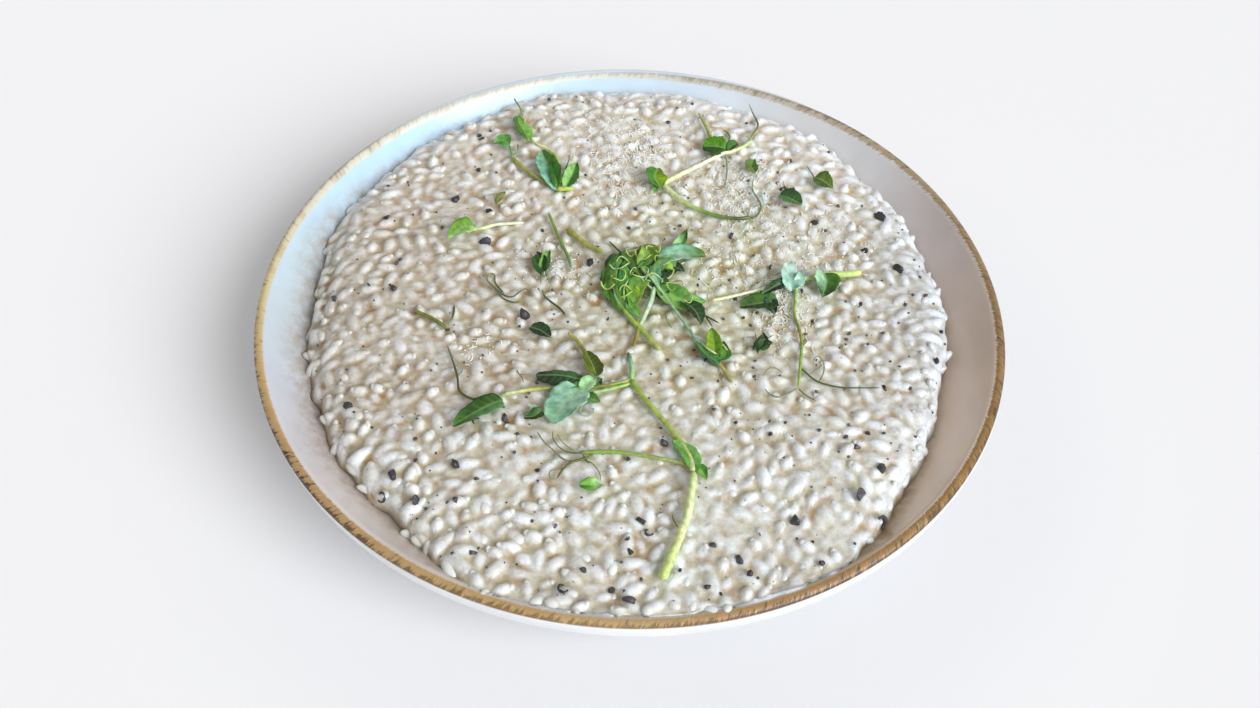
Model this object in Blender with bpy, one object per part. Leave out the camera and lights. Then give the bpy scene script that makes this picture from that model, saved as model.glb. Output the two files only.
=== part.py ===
"""Truffle risotto with pea shoots, served in a coupe bowl with a painted rim.

Lengths are in millimetres up to the moment that a mesh is made, and metres in the scene. +Z is up, the
origin is under the middle of the foot ring, and -Y is the side that faces the person eating.
"""

import math
import random

import bmesh
import bpy
from mathutils import Matrix, Vector
from mathutils.geometry import delaunay_2d_cdt

MM = 0.001

# Bowl: a coupe of white glazed stoneware, 270 mm across, with a flat floor and a rim band 4 mm wide.
RIM_RADIUS = 135.0
RIM_HEIGHT = 38.0
LIP_RADIUS = 131.0
FLOOR_RADIUS = 62.0
FLOOR_TOP = 7.5
WALL_RISE = 30.0
WALL_POWER = 2.4
BAND_DROP = 5.0
FOOT_RADIUS = 64.0
FOOT_WIDTH = 7.0
FOOT_HEIGHT = 3.0
UNDERSIDE_HEIGHT = 2.6
BOWL_SIDES = 60
WALL_RINGS = 6
OUTSIDE_RINGS = 3

# Risotto: a heap that fills the bowl to the rim, with its edge rounding down onto the wall.
GAP = 0.5
DOME_TOP = 37.4
DOME_FALL = 1.9
BANK_WIDTH = 8.5
SIDE_REACH = 117.0
FAR_REACH = 7.0
NEAR_REACH = 10.0
LEFT_BULGE = 2.4
NEAR_BULGE = 2.2
LIP_MARGIN = 1.3

# Rice: cooked grains 8 to 9 mm long, of which the heap shows the upper half.
GRAIN_SPACING = 8.9
GRAIN_STRAY = 1.3
GRAIN_RIDGE = 2.3
GRAIN_RISE = 1.15
GRAIN_UNEVEN = 0.45
VALLEY_DEPTH = 0.55
VALLEY_CLEAR = 1.5
EDGE_MARGIN = 3.6
CREST = GRAIN_RISE + GRAIN_UNEVEN

# Shoots: stems, leaves and tendrils of young pea plants, which lie just clear of the rice.
LEAF_THICKNESS = 0.6
STEM_STEP = 7.5
LEAF_STEP = 4.5
CLEARANCE = 0.35
FLAT_ANGLE = math.radians(2.5)

SEED = 27


def clear_scene():
    for thing in list(bpy.data.objects):
        bpy.data.objects.remove(thing, do_unlink=True)


def material(name, colour, roughness):
    made = bpy.data.materials.new(name)
    made.use_nodes = True
    shader = made.node_tree.nodes["Principled BSDF"]
    shader.inputs["Base Color"].default_value = (*colour, 1.0)
    shader.inputs["Roughness"].default_value = roughness
    shader.inputs["Metallic"].default_value = 0.0
    made.diffuse_color = (*colour, 1.0)
    return made


def object_from(name, points, faces, look):
    """An object from points in millimetres."""
    mesh = bpy.data.meshes.new(name)
    mesh.from_pydata([Vector(point) * MM for point in points], [], faces)
    shape = bmesh.new()
    shape.from_mesh(mesh)
    bmesh.ops.recalc_face_normals(shape, faces=shape.faces)
    shape.to_mesh(mesh)
    shape.free()
    mesh.materials.append(look)
    made = bpy.data.objects.new(name, mesh)
    bpy.context.scene.collection.objects.link(made)
    return made


def merge_flat_faces(mesh):
    """Dissolves the edges that a union leaves across flat faces."""
    shape = bmesh.new()
    shape.from_mesh(mesh)
    bmesh.ops.dissolve_limit(
        shape, angle_limit=FLAT_ANGLE, verts=shape.verts, edges=shape.edges, use_dissolve_boundaries=False
    )
    bmesh.ops.triangulate(shape, faces=shape.faces)
    shape.to_mesh(mesh)
    shape.free()


def join(name, pieces):
    """One body from overlapping pieces: the first takes the name, and the others are united with it."""
    whole = pieces[0]
    whole.name = name
    whole.data.name = name
    if len(pieces) == 1:
        return whole
    others = bpy.data.collections.new(name + " pieces")
    bpy.context.scene.collection.children.link(others)
    for piece in pieces[1:]:
        bpy.context.scene.collection.objects.unlink(piece)
        others.objects.link(piece)
    union = whole.modifiers.new("Union", "BOOLEAN")
    union.operation = "UNION"
    union.operand_type = "COLLECTION"
    union.collection = others
    union.solver = "MANIFOLD"
    bpy.context.view_layer.update()
    graph = bpy.context.evaluated_depsgraph_get()
    united = bpy.data.meshes.new_from_object(whole.evaluated_get(graph))
    whole.modifiers.remove(union)
    merge_flat_faces(united)
    whole.data = united
    united.name = name
    for piece in pieces[1:]:
        bpy.data.objects.remove(piece, do_unlink=True)
    bpy.data.collections.remove(others)
    return whole


# --- Bowl ---------------------------------------------------------------------------------------------


def wall_radii():
    """Radii of the rings of the inner wall, closer together where the wall is steeper."""
    reach = LIP_RADIUS - FLOOR_RADIUS
    return [FLOOR_RADIUS + reach * (i / WALL_RINGS) ** 0.8 for i in range(WALL_RINGS + 1)]


def wall_height(radius):
    across = (radius - FLOOR_RADIUS) / (LIP_RADIUS - FLOOR_RADIUS)
    return FLOOR_TOP + WALL_RISE * across**WALL_POWER


def inside_height(radius):
    """Height of the bowl's faceted inner surface."""
    rings = wall_radii()
    if radius <= rings[0]:
        return FLOOR_TOP
    for inner, outer in zip(rings, rings[1:]):
        if radius <= outer:
            share = (radius - inner) / (outer - inner)
            return wall_height(inner) + share * (wall_height(outer) - wall_height(inner))
    return wall_height(LIP_RADIUS)


def bowl_profile():
    """(radius, height) from the middle of the floor, over the rim and down to the middle underneath."""
    inside = [(radius, wall_height(radius)) for radius in wall_radii()]
    rim = [
        (LIP_RADIUS + 1.6, RIM_HEIGHT),
        (RIM_RADIUS - 0.9, RIM_HEIGHT - 0.5),
        (RIM_RADIUS, RIM_HEIGHT - 2.0),
        (RIM_RADIUS - 0.6, RIM_HEIGHT - 2.0 - BAND_DROP),
    ]
    below_band = rim[-1]
    outside = []
    for i in range(1, OUTSIDE_RINGS + 1):
        share = 1 - i / OUTSIDE_RINGS
        radius = FOOT_RADIUS + (below_band[0] - FOOT_RADIUS) * share**0.8
        rise = (radius - FOOT_RADIUS) / (below_band[0] - FOOT_RADIUS)
        outside.append((radius, FOOT_HEIGHT + (below_band[1] - FOOT_HEIGHT) * rise**2.2))
    foot = [
        (FOOT_RADIUS - 0.6, 0.5),
        (FOOT_RADIUS - 1.5, 0.0),
        (FOOT_RADIUS - FOOT_WIDTH + 1.0, 0.0),
        (FOOT_RADIUS - FOOT_WIDTH, UNDERSIDE_HEIGHT),
    ]
    return inside + rim + outside + foot


def make_bowl(look):
    rings = bowl_profile()
    points = []
    for radius, height in rings:
        for i in range(BOWL_SIDES):
            angle = math.tau * i / BOWL_SIDES
            points.append((radius * math.cos(angle), radius * math.sin(angle), height))
    faces = []
    for ring in range(len(rings) - 1):
        for i in range(BOWL_SIDES):
            following = (i + 1) % BOWL_SIDES
            here, there = ring * BOWL_SIDES, (ring + 1) * BOWL_SIDES
            faces.append((here + i, there + i, there + following, here + following))
    floor_middle = len(points)
    points.append((0.0, 0.0, FLOOR_TOP))
    foot_middle = len(points)
    points.append((0.0, 0.0, UNDERSIDE_HEIGHT))
    last = (len(rings) - 1) * BOWL_SIDES
    for i in range(BOWL_SIDES):
        following = (i + 1) % BOWL_SIDES
        faces.append((floor_middle, i, following))
        faces.append((foot_middle, last + following, last + i))
    made = object_from("bowl", points, faces, look)
    made.data.shade_smooth()
    made.data.set_sharp_from_angle(angle=math.radians(35))
    return made


# --- Risotto ------------------------------------------------------------------------------------------


def bulge(angle, middle, width):
    """A smooth swelling of 1 at one angle of the rim, all angles in degrees but the first."""
    away = (math.degrees(angle) - middle + 180) % 360 - 180
    return math.exp(-((away / width) ** 2))


def reach(angle):
    """How far from the middle the risotto meets the wall: further at the far, the near and the left side."""
    side = math.sin(angle)
    even = FAR_REACH * side**2 if side > 0 else NEAR_REACH * side**4
    even += LEFT_BULGE * bulge(angle, 178, 25) + NEAR_BULGE * bulge(angle, 262, 28)
    uneven = 0.8 * math.sin(7 * angle + 1.0) + 0.6 * math.sin(13 * angle + 2.0)
    return min(SIDE_REACH + even + uneven, LIP_RADIUS - LIP_MARGIN)


def dome_height(x, y):
    """The level of the spread risotto, without grains and without its bank."""
    radius = math.hypot(x, y)
    swell = 0.5 * math.sin(x / 17.0 + 0.6) * math.cos(y / 21.0) + 0.35 * math.sin((x + y) / 9.5)
    return DOME_TOP - DOME_FALL * (radius / SIDE_REACH) ** 2 + swell


def heap_height(x, y):
    """The level with the bank that rounds down to where the risotto meets the wall."""
    edge = reach(math.atan2(y, x))
    foot = inside_height(edge) + GAP
    inward = min(max((edge - math.hypot(x, y)) / BANK_WIDTH, 0.0), 1.0)
    return foot + (dome_height(x, y) - foot) * math.sqrt(1 - (1 - inward) ** 2)


def scatter_grains(chance):
    """(x, y) of the grains that show, on an uneven hexagonal spread clear of the heap's edge."""
    row_step = GRAIN_SPACING * math.sqrt(3) / 2
    rows = int(RIM_RADIUS / row_step)
    grains = []
    for row in range(-rows, rows + 1):
        for column in range(-rows, rows + 1):
            x = (column + 0.5 * (row % 2)) * GRAIN_SPACING + chance.uniform(-GRAIN_STRAY, GRAIN_STRAY)
            y = row * row_step + chance.uniform(-GRAIN_STRAY, GRAIN_STRAY)
            if reach(math.atan2(y, x)) - math.hypot(x, y) > EDGE_MARGIN:
                grains.append(Vector((x, y)))
    return grains


def inside_outline(place, outline):
    """Whether a place lies within the outline, of which each pair of points spans one sector."""
    sector = int(math.atan2(place.y, place.x) / math.tau * BOWL_SIDES % BOWL_SIDES)
    a, b = Vector(outline[sector][:2]), Vector(outline[(sector + 1) % BOWL_SIDES][:2])
    return (b - a).cross(place - a) > 0


def make_heap(look):
    """The heap: ridges for grains with valleys between them, a bank, and an underside along the bowl."""
    chance = random.Random(SEED)
    angles = [math.tau * i / BOWL_SIDES for i in range(BOWL_SIDES)]
    points = []
    for angle in angles:
        edge = reach(angle)
        points.append((edge * math.cos(angle), edge * math.sin(angle), inside_height(edge) + GAP))
    ridges = []
    grains = scatter_grains(chance)
    for grain in grains:
        turn = chance.uniform(0, math.pi)
        along = Vector((math.cos(turn), math.sin(turn))) * GRAIN_RIDGE
        rise = GRAIN_RISE + chance.uniform(-GRAIN_UNEVEN, GRAIN_UNEVEN)
        first = len(points)
        for end in (grain - along, grain + along):
            points.append((end.x, end.y, heap_height(end.x, end.y) + rise))
        ridges.append((first, first + 1))
    flat = delaunay_2d_cdt(grains, [], [], 0, 1e-4, True)
    for corners in flat[2]:
        middle = sum((flat[0][i] for i in corners), Vector((0, 0))) / 3
        widest = max((flat[0][a] - flat[0][b]).length for a, b in zip(corners, corners[1:]))
        crowded = any(
            (middle - Vector(points[end][:2])).length < VALLEY_CLEAR for ridge in ridges for end in ridge
        )
        if widest < 2.2 * GRAIN_SPACING and not crowded:
            sunk = heap_height(middle.x, middle.y) - VALLEY_DEPTH
            points.append((middle.x, middle.y, sunk))
    outline = list(range(BOWL_SIDES))
    top = delaunay_2d_cdt([Vector(p[:2]) for p in points], ridges, [outline], 1, 1e-4, True)
    came_from = {new: olds[0] for new, olds in enumerate(top[3]) if olds}
    faces = []
    for corners in top[2]:
        middle = sum((top[0][corner] for corner in corners), Vector((0, 0))) / 3
        if inside_outline(middle, points[:BOWL_SIDES]):
            faces.append(tuple(came_from[corner] for corner in corners))
    below = [radius for radius in reversed(wall_radii()) if radius < SIDE_REACH - 4]
    ring_before = list(range(BOWL_SIDES))
    for radius in below:
        ring = []
        for angle in angles:
            ring.append(len(points))
            points.append((radius * math.cos(angle), radius * math.sin(angle), wall_height(radius) + GAP))
        for i in range(BOWL_SIDES):
            following = (i + 1) % BOWL_SIDES
            faces.append((ring_before[following], ring_before[i], ring[i], ring[following]))
        ring_before = ring
    middle = len(points)
    points.append((0.0, 0.0, FLOOR_TOP + GAP))
    for i in range(BOWL_SIDES):
        faces.append((middle, ring_before[(i + 1) % BOWL_SIDES], ring_before[i]))
    return object_from("heap", points, faces, look)


# Truffle: the pieces that show from a step away, as (x, y, size).
TRUFFLE = [
    (2, -121, 4.5), (6, -98, 4.5), (-75, -83, 5.0), (-55, -79, 4.5), (75, -85, 5.5), (54, -95, 5.0),
    (83, -74, 4.5), (-16, 14, 4.5), (10, -66, 4.5), (-66, -93, 4.5), (36, -110, 4.0), (70, 41, 4.0),
    (88, 27, 4.5), (99, 17, 5.0), (95, 45, 6.0), (-38, -13, 6.0), (-56, 24, 5.5), (-70, 47, 4.0),
    (-41, -60, 4.5), (-86, -2, 4.5),
]


def make_truffle_piece(x, y, size, chance, look):
    """A minced piece of truffle with few sides, pressed into the rice to about half its height."""
    shape = bmesh.new()
    bmesh.ops.create_icosphere(shape, subdivisions=1, radius=0.5)
    for vertex in shape.verts:
        vertex.co *= chance.uniform(0.85, 1.15)
    stretch = Matrix.Diagonal((size, size * 0.75, size * 0.8, 1.0))
    turn = Matrix.Rotation(chance.uniform(0, math.tau), 4, "Z")
    place = Matrix.Translation((x, y, heap_height(x, y) - 0.2))
    shape.transform(place @ turn @ stretch)
    points = [tuple(vertex.co) for vertex in shape.verts]
    faces = [tuple(vertex.index for vertex in face.verts) for face in shape.faces]
    shape.free()
    return object_from("truffle piece", points, faces, look)


def make_risotto(rice, truffle):
    chance = random.Random(SEED + 1)
    pieces = [make_heap(rice)]
    for x, y, size in TRUFFLE:
        pieces.append(make_truffle_piece(x, y, size, chance, truffle))
    return join("risotto", pieces)


# --- Shoots -------------------------------------------------------------------------------------------


def rest_height(x, y):
    """The height at which a stem or a leaf lies on the grains."""
    return dome_height(x, y) + CREST + CLEARANCE


def smooth_route(points, stations):
    """Places along a smooth curve through (x, y) or (x, y, lift) points, with lift above the rice."""
    marks = [Vector((*point, 0.0)) if len(point) == 2 else Vector(point) for point in points]
    marks = [2 * marks[0] - marks[1], *marks, 2 * marks[-1] - marks[-2]]
    spans = len(marks) - 3
    route = []
    for i in range(stations + 1):
        along = min(i / stations * spans, spans - 1e-9)
        span = int(along)
        t = along - span
        a, b, c, d = marks[span : span + 4]
        bend = (2 * a - 5 * b + 4 * c - d) * t * t + (3 * b - a - 3 * c + d) * t**3
        place = b + 0.5 * ((c - a) * t + bend)
        place.z += rest_height(place.x, place.y)
        route.append(place)
    return route


def frame_at(route, i):
    """Direction of travel and the level direction to its right at one place of a route."""
    ahead = route[min(i + 1, len(route) - 1)] - route[max(i - 1, 0)]
    ahead.normalize()
    side = ahead.cross(Vector((0, 0, 1))).normalized()
    return ahead, side


def stem(points, start, end, look):
    """A round stem or tendril along a route, start and end being its radii."""
    length = sum(math.dist(a[:2], b[:2]) for a, b in zip(points, points[1:]))
    stations = max(len(points) - 1, round(length / STEM_STEP))
    sides = 5 if start > 0.8 else 4
    route = smooth_route(points, stations)
    corners = []
    for i, place in enumerate(route):
        ahead, side = frame_at(route, i)
        up = side.cross(ahead)
        radius = start + (end - start) * i / stations
        for k in range(sides):
            turn = math.tau * k / sides
            outward = side * math.cos(turn) + up * math.sin(turn)
            corners.append(place + Vector((0, 0, start)) + outward * radius)
    faces = []
    for i in range(stations):
        for k in range(sides):
            here, there = i * sides, (i + 1) * sides
            following = (k + 1) % sides
            faces.append((here + k, here + following, there + following, there + k))
    faces.append(tuple(reversed(range(sides))))
    faces.append(tuple(range(stations * sides, (stations + 1) * sides)))
    return object_from("stem", corners, faces, look)


def leaf_width(t, width, blunt):
    """Half width along a leaf, from its foot (t = 0) to its tip, rounder for a larger blunt."""
    return 0.35 + 0.5 * width * math.sin(math.pi * t**0.75) ** (1.0 / blunt)


def leaf(points, width, look, roll=0.0, fold=20.0, wave=0.5, blunt=1.4):
    """A thin wavy leaf from its foot to its tip, folded up along its rib, both faces split alike."""
    length = sum(math.dist(a[:2], b[:2]) for a, b in zip(points, points[1:]))
    stations = min(max(3, round(length / LEAF_STEP)), 5)
    route = smooth_route(points, stations)
    turn = math.radians(roll)
    lift = math.tan(math.radians(fold))
    upper, lower = [], []
    for i, place in enumerate(route):
        t = i / stations
        ahead, side = frame_at(route, i)
        up = side.cross(ahead)
        across = side * math.cos(turn) + up * math.sin(turn)
        face = across.cross(ahead)
        half = leaf_width(t, width, blunt)
        raised = place + Vector((0, 0, LEAF_THICKNESS + abs(half * math.sin(turn)) + wave))
        for v in (-1, 0, 1):
            ripple = wave * math.sin(5.5 * t + 1.7 * v) * abs(v)
            point = raised + across * half * v + face * (half * lift * abs(v) + ripple)
            upper.append(point)
            lower.append(point - face * LEAF_THICKNESS)
    points, faces = upper + lower, []
    under = len(upper)
    for i in range(stations):
        for k in range(2):
            a, b = 3 * i + k, 3 * i + k + 1
            c, d = b + 3, a + 3
            split = ((a, b, c), (a, c, d)) if k else ((a, b, d), (b, c, d))
            for corners in split:
                faces.append(corners)
                faces.append(tuple(under + corner for corner in reversed(corners)))
    rim = [3 * i for i in range(stations + 1)] + [3 * stations + 1]
    rim += [3 * i + 2 for i in reversed(range(stations + 1))] + [1]
    for a, b in zip(rim, rim[1:] + rim[:1]):
        faces.append((a, b, under + b))
        faces.append((a, under + b, under + a))
    return object_from("leaf", points, faces, look)


def make_shoot_back_left(green, stalk):
    """A shoot with a leaf near its tip, a pair of leaves at its foot and a side stem."""
    return join("shoot_back_left", [
        stem([(-52.5, 108.5, 2), (-49, 101, 2), (-45.5, 90, 1), (-42, 82), (-35, 76.5), (-31.5, 69),
              (-30, 52)], 0.6, 1.0, stalk),
        leaf([(-44, 82), (-47.5, 88.5), (-50, 98)], 6, green, roll=-25),
        leaf([(-30.5, 51.5), (-33.5, 61), (-38, 74.5)], 7.5, green, roll=20, fold=30),
        leaf([(-27.5, 52), (-25.5, 59), (-24, 68)], 5.5, green, roll=-20, fold=35),
        stem([(-30.5, 52.5), (-37, 57), (-44, 63), (-50, 70), (-52, 79)], 0.9, 0.6, stalk),
        stem([(-30.5, 52), (-27, 52)], 1.0, 0.8, stalk),
        leaf([(-51.5, 77.5), (-54.5, 80), (-57.5, 79.5)], 5.5, green, roll=10),
    ])


def make_shoot_back_right(green, stalk):
    """A forked shoot: a straight upper stem with a round leaf, and a lower stem that bends to the right."""
    return join("shoot_back_right", [
        stem([(10.5, 57.5), (20, 66), (33, 77), (43, 82), (47.5, 91), (50, 100), (46.5, 109)],
             1.1, 0.5, stalk),
        leaf([(9.5, 55), (8, 60.5), (9, 66.5)], 8, green, roll=-15, fold=30),
        leaf([(36, 80.5), (31.5, 81.5), (27, 82)], 8.5, green, roll=15, fold=15, blunt=2.2),
        stem([(33, 77.5), (31, 84), (29, 93), (25.5, 103)], 0.9, 0.7, stalk),
        stem([(36.5, 79), (37.5, 86), (38, 90), (35.5, 93)], 0.6, 0.4, stalk),
        leaf([(37.5, 79.6), (39, 83.5), (42, 85.5)], 3.6, green),
        stem([(36, 79), (36.5, 71), (35, 60), (33.5, 52)], 0.6, 0.4, stalk),
        stem([(10.5, 58), (16, 50.5), (25, 43), (35, 39), (45, 40)], 1.1, 0.8, stalk),
        stem([(44.5, 40), (49, 46), (46.5, 56), (46.5, 63), (47.5, 68)], 0.6, 0.4, stalk),
        leaf([(47, 67), (46, 71), (47, 74.5)], 5, green),
        stem([(45, 40), (42.5, 36), (40, 30)], 0.5, 0.4, stalk),
    ])


def make_shoot_centre(green, stalk):
    """The middle shoot: a tangle of folded leaves and tendrils, with two long stems towards the front."""
    return join("shoot_centre", [
        stem([(2, 14, 2), (6, 5, 2), (10, -2, 2), (16, -12, 1), (22, -22), (28, -31), (35.5, -42)],
             0.9, 0.7, stalk),
        leaf([(-4.5, 17), (-9.5, 3), (-3, -13)], 6, green, roll=-40, fold=10),
        leaf([(-3.5, 12), (-5.5, 1), (-1.5, -11)], 5, green, roll=35, fold=10),
        leaf([(4.5, 3, 1), (1.5, -3, 1), (0, -12, 1)], 6.5, green, roll=-10),
        stem([(-4, 15, 2), (-1, 16, 2), (2, 11, 2), (6, 3, 2)], 0.5, 0.5, stalk),
        stem([(-4, 15, 2), (-6, 3, 3), (-3, -11, 2), (4, -20), (10.5, -28.5)], 0.7, 1.0, stalk),
        stem([(-2.5, -4, 2), (-1, 2, 3), (3, 2, 3), (8.6, 0, 2), (6.5, -8, 1), (3, -18)], 0.5, 0.9, stalk),
        stem([(2, -14), (2.3, -20), (1, -28)], 0.8, 0.8, stalk),
        stem([(-4, 15, 1), (-6.5, 20.5), (-9, 24)], 0.5, 0.4, stalk),
        leaf([(3, 9, 1), (5.5, 15, 1), (4, 21)], 6, green, roll=-20, wave=0.9),
        leaf([(6.5, 3, 1), (12, 8.5, 1), (18.5, 11.5)], 6, green, roll=-30),
        leaf([(9, 11.5), (17, 17.5), (27.5, 18.5)], 9, green, roll=15, fold=10, blunt=2.0),
        leaf([(14, 18), (17.5, 24), (20, 32)], 3.4, green, fold=35),
        leaf([(8.5, 0), (17, -6), (26.5, -6.5)], 8, green, roll=-20, fold=25),
        leaf([(18, -6.5), (22.5, -11), (25, -16)], 6, green, roll=30),
        stem([(16, -5), (24, -10), (31, -15.5)], 0.7, 0.4, stalk),
        leaf([(29, -32), (29, -25.5), (28, -18.5)], 5, green, roll=15),
        leaf([(30, -34), (26.5, -30.5), (23, -25.5)], 4.5, green, roll=-20),
        leaf([(30, -33), (33, -30.5), (32.5, -24.5)], 3.6, green, roll=20),
    ])


def make_shoot_right(green, stalk):
    """A pale stem towards the right rim with four leaves, and a thin stem with tendrils to the front."""
    return join("shoot_right", [
        stem([(29.5, -4.6), (36, -2), (48, 3), (60, 6.5), (72, 11), (85, 13.5)], 0.7, 1.3, stalk),
        leaf([(54.5, 4), (49, -3.5), (39.5, -7.5)], 9.5, green, roll=-15, fold=15, blunt=1.8),
        leaf([(56.5, 5.5), (52, 1.7, 2), (47, -1, 2)], 3.6, green, roll=20),
        leaf([(58.5, 2), (57.5, 9, 0.5), (58.5, 17.5, 1)], 7, green, roll=-20, fold=15, blunt=1.8),
        leaf([(70, 11), (70.8, 6), (69.5, -0.5)], 9.5, green, roll=20, fold=30, blunt=1.8),
        stem([(60, 7), (59, -5), (59, -12), (60.5, -20), (59, -31), (57.8, -43.5)], 0.8, 0.5, stalk),
        stem([(57.8, -43), (54, -46.5), (49, -47), (46, -44)], 0.5, 0.4, stalk),
        stem([(59, -34), (64, -39.5), (70, -42), (80, -41.5)], 0.5, 0.4, stalk),
        stem([(64.5, -40), (67.3, -34, 1), (66.5, -29, 1), (64, -30.5)], 0.5, 0.4, stalk),
    ])


def make_shoot_front(green, stalk):
    """The longest shoot: a thick foot at the near edge, a fork, and two stems that run to the left."""
    return join("shoot_front", [
        stem([(12, -119.5), (15, -111), (20, -94), (22, -79)], 1.6, 1.2, stalk),
        leaf([(22.8, -79.5), (20, -73), (15, -67.5)], 5, green, roll=15, fold=15),
        leaf([(22.5, -77), (24.7, -79), (25.8, -82)], 2.8, green),
        stem([(22, -79.5), (19.5, -71), (13, -61), (5, -50), (0.8, -43)], 1.1, 1.0, stalk),
        stem([(1, -43), (0.8, -37), (-0.5, -31)], 0.9, 0.8, stalk),
        stem([(0.8, -43), (-7, -45.5), (-18, -47.3), (-30, -47.5), (-42, -51), (-50, -53.5), (-56, -51),
              (-58.3, -44), (-60.5, -37.5), (-63.5, -29.5)], 0.9, 0.5, stalk),
        stem([(0, -44), (-7, -47), (-15, -49)], 0.7, 0.7, stalk),
        leaf([(-42, -52.5), (-49, -58), (-57.3, -64.3)], 8.5, green, roll=-10, fold=20),
        leaf([(-15.5, -44.5), (-23, -43), (-31.5, -42.5)], 7, green, roll=35, fold=30, blunt=2.6),
        leaf([(-17, -47.2), (-22, -56), (-26, -64.5)], 15.5, green, roll=-10, fold=12, blunt=2.6),
        leaf([(-15, -49.5), (-13.5, -46), (-11, -41.5)], 4.5, green, roll=20),
        leaf([(-11.5, -43), (-13, -37), (-15, -31.5)], 6, green, roll=-15, fold=25),
        stem([(-14.5, -33), (-18, -27), (-22, -22.5)], 0.8, 0.8, stalk),
        leaf([(-28, -58.5), (-31, -60), (-34, -60.5)], 4, green),
        leaf([(-15, -49.5), (-12.5, -51.5), (-9.5, -52.5)], 3.6, green),
        stem([(22, -79), (15, -75), (4, -73), (-7, -72.3), (-16, -73.5)], 0.8, 0.8, stalk),
        stem([(-15, -73.5), (-20, -72), (-24, -68), (-24.5, -65)], 0.5, 0.4, stalk),
        stem([(-12, -73), (-17, -77), (-20, -80), (-22.5, -84)], 0.6, 0.4, stalk),
        stem([(-16.5, -76.5), (-22, -75), (-27, -69.5), (-30, -65.5)], 0.4, 0.4, stalk),
        stem([(-11, -72.5), (-9, -78), (-7.8, -83)], 0.5, 0.4, stalk),
    ])


def make_loose_pieces(green, stalk):
    """Leaves, stems and curls that lie by themselves on the rice."""
    join("sprig_left", [
        stem([(-42, 33.5), (-52, 32), (-62, 28.5)], 0.6, 0.9, stalk),
        leaf([(-60.5, 29), (-65, 27.5), (-69.5, 22.5)], 7, green, roll=20, fold=30),
    ])
    join("leaf_back_dark", [leaf([(55.5, 53), (60, 51.5), (65, 48.5)], 9, green, roll=10, blunt=2.2)])
    join("leaf_back_small", [
        leaf([(70.5, 63.5), (74, 61.5), (77.5, 58.5)], 6.5, green, roll=-15),
        stem([(71.3, 62.6), (70.5, 67), (68.5, 72)], 0.8, 0.4, stalk),
    ])
    join("stem_back_dark", [stem([(-33, 38.5), (-28.5, 26.5), (-22.5, 10.5)], 0.8, 0.7, stalk)])
    join("stem_back_pale", [stem([(-25.5, 29.5), (-18, 22), (-11.5, 18)], 1.1, 0.8, stalk)])
    join("leaf_tip_back", [leaf([(-53.5, 43), (-52.5, 46.5), (-50.5, 50)], 2.6, stalk)])
    join("leaf_frilled", [
        leaf([(-33, 5), (-34, 11), (-36, 16.5)], 5.5, green, roll=25, wave=0.9),
        leaf([(-33, 6), (-32.5, 12), (-31.5, 18)], 4, green, roll=-20, wave=0.9),
    ])
    join("curl_left", [
        stem([(-49.5, 5.5, 1), (-52.5, 4), (-50.5, -0.5), (-46.5, -4.5), (-43, -5.5), (-40, -2.5),
              (-36.5, -3)], 0.5, 0.4, stalk),
        stem([(-50, -1), (-46.5, -6), (-42.5, -8), (-39.5, -7.5)], 0.5, 0.4, stalk),
    ])
    join("curl_middle", [stem([(-32.5, -1), (-31, -5), (-26, -10), (-23.5, -13.5)], 0.4, 0.5, stalk)])
    join("leaf_scrap_dark", [leaf([(-35.5, -20.5), (-31.5, -22), (-28, -25)], 5, green, blunt=2.2)])
    join("leaf_scrap_front", [leaf([(-14.5, -86.5), (-11, -86.5), (-7, -86)], 4, green, blunt=2.0)])
    join("stem_left", [
        stem([(-77, -14), (-71, -17), (-64.5, -21.5)], 0.8, 0.9, stalk),
        stem([(-64.5, -21), (-63.3, -15), (-63.5, -10)], 0.6, 0.5, stalk),
    ])
    join("scrap_right", [
        leaf([(43, -28), (46, -26), (50, -23.5)], 4.5, green, wave=0.9),
        leaf([(44.5, -29), (46.5, -25), (46.5, -20)], 4, green, roll=20, wave=0.9),
    ])


def main():
    clear_scene()
    stoneware = material("white glazed stoneware", (0.82, 0.82, 0.82), 0.15)
    rice = material("cooked carnaroli rice", (0.78, 0.74, 0.64), 0.35)
    truffle = material("black truffle", (0.03, 0.03, 0.035), 0.6)
    green = material("pea leaf", (0.07, 0.22, 0.05), 0.4)
    stalk = material("pea stem", (0.35, 0.50, 0.12), 0.35)
    make_bowl(stoneware)
    make_risotto(rice, truffle)
    make_shoot_back_left(green, stalk)
    make_shoot_back_right(green, stalk)
    make_shoot_centre(green, stalk)
    make_shoot_right(green, stalk)
    make_shoot_front(green, stalk)
    make_loose_pieces(green, stalk)


main()
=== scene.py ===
"""Truffle risotto with pea shoots in a coupe bowl: its looks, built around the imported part.

Shapes are worked out in millimetres and turned to metres where a mesh is made. +Z is up, the origin is under
the middle of the foot ring, and -Y is the side that faces the person eating.
"""

import math

import bmesh
import bpy
import numpy as np
from mathutils import Matrix, Vector, noise


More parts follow.
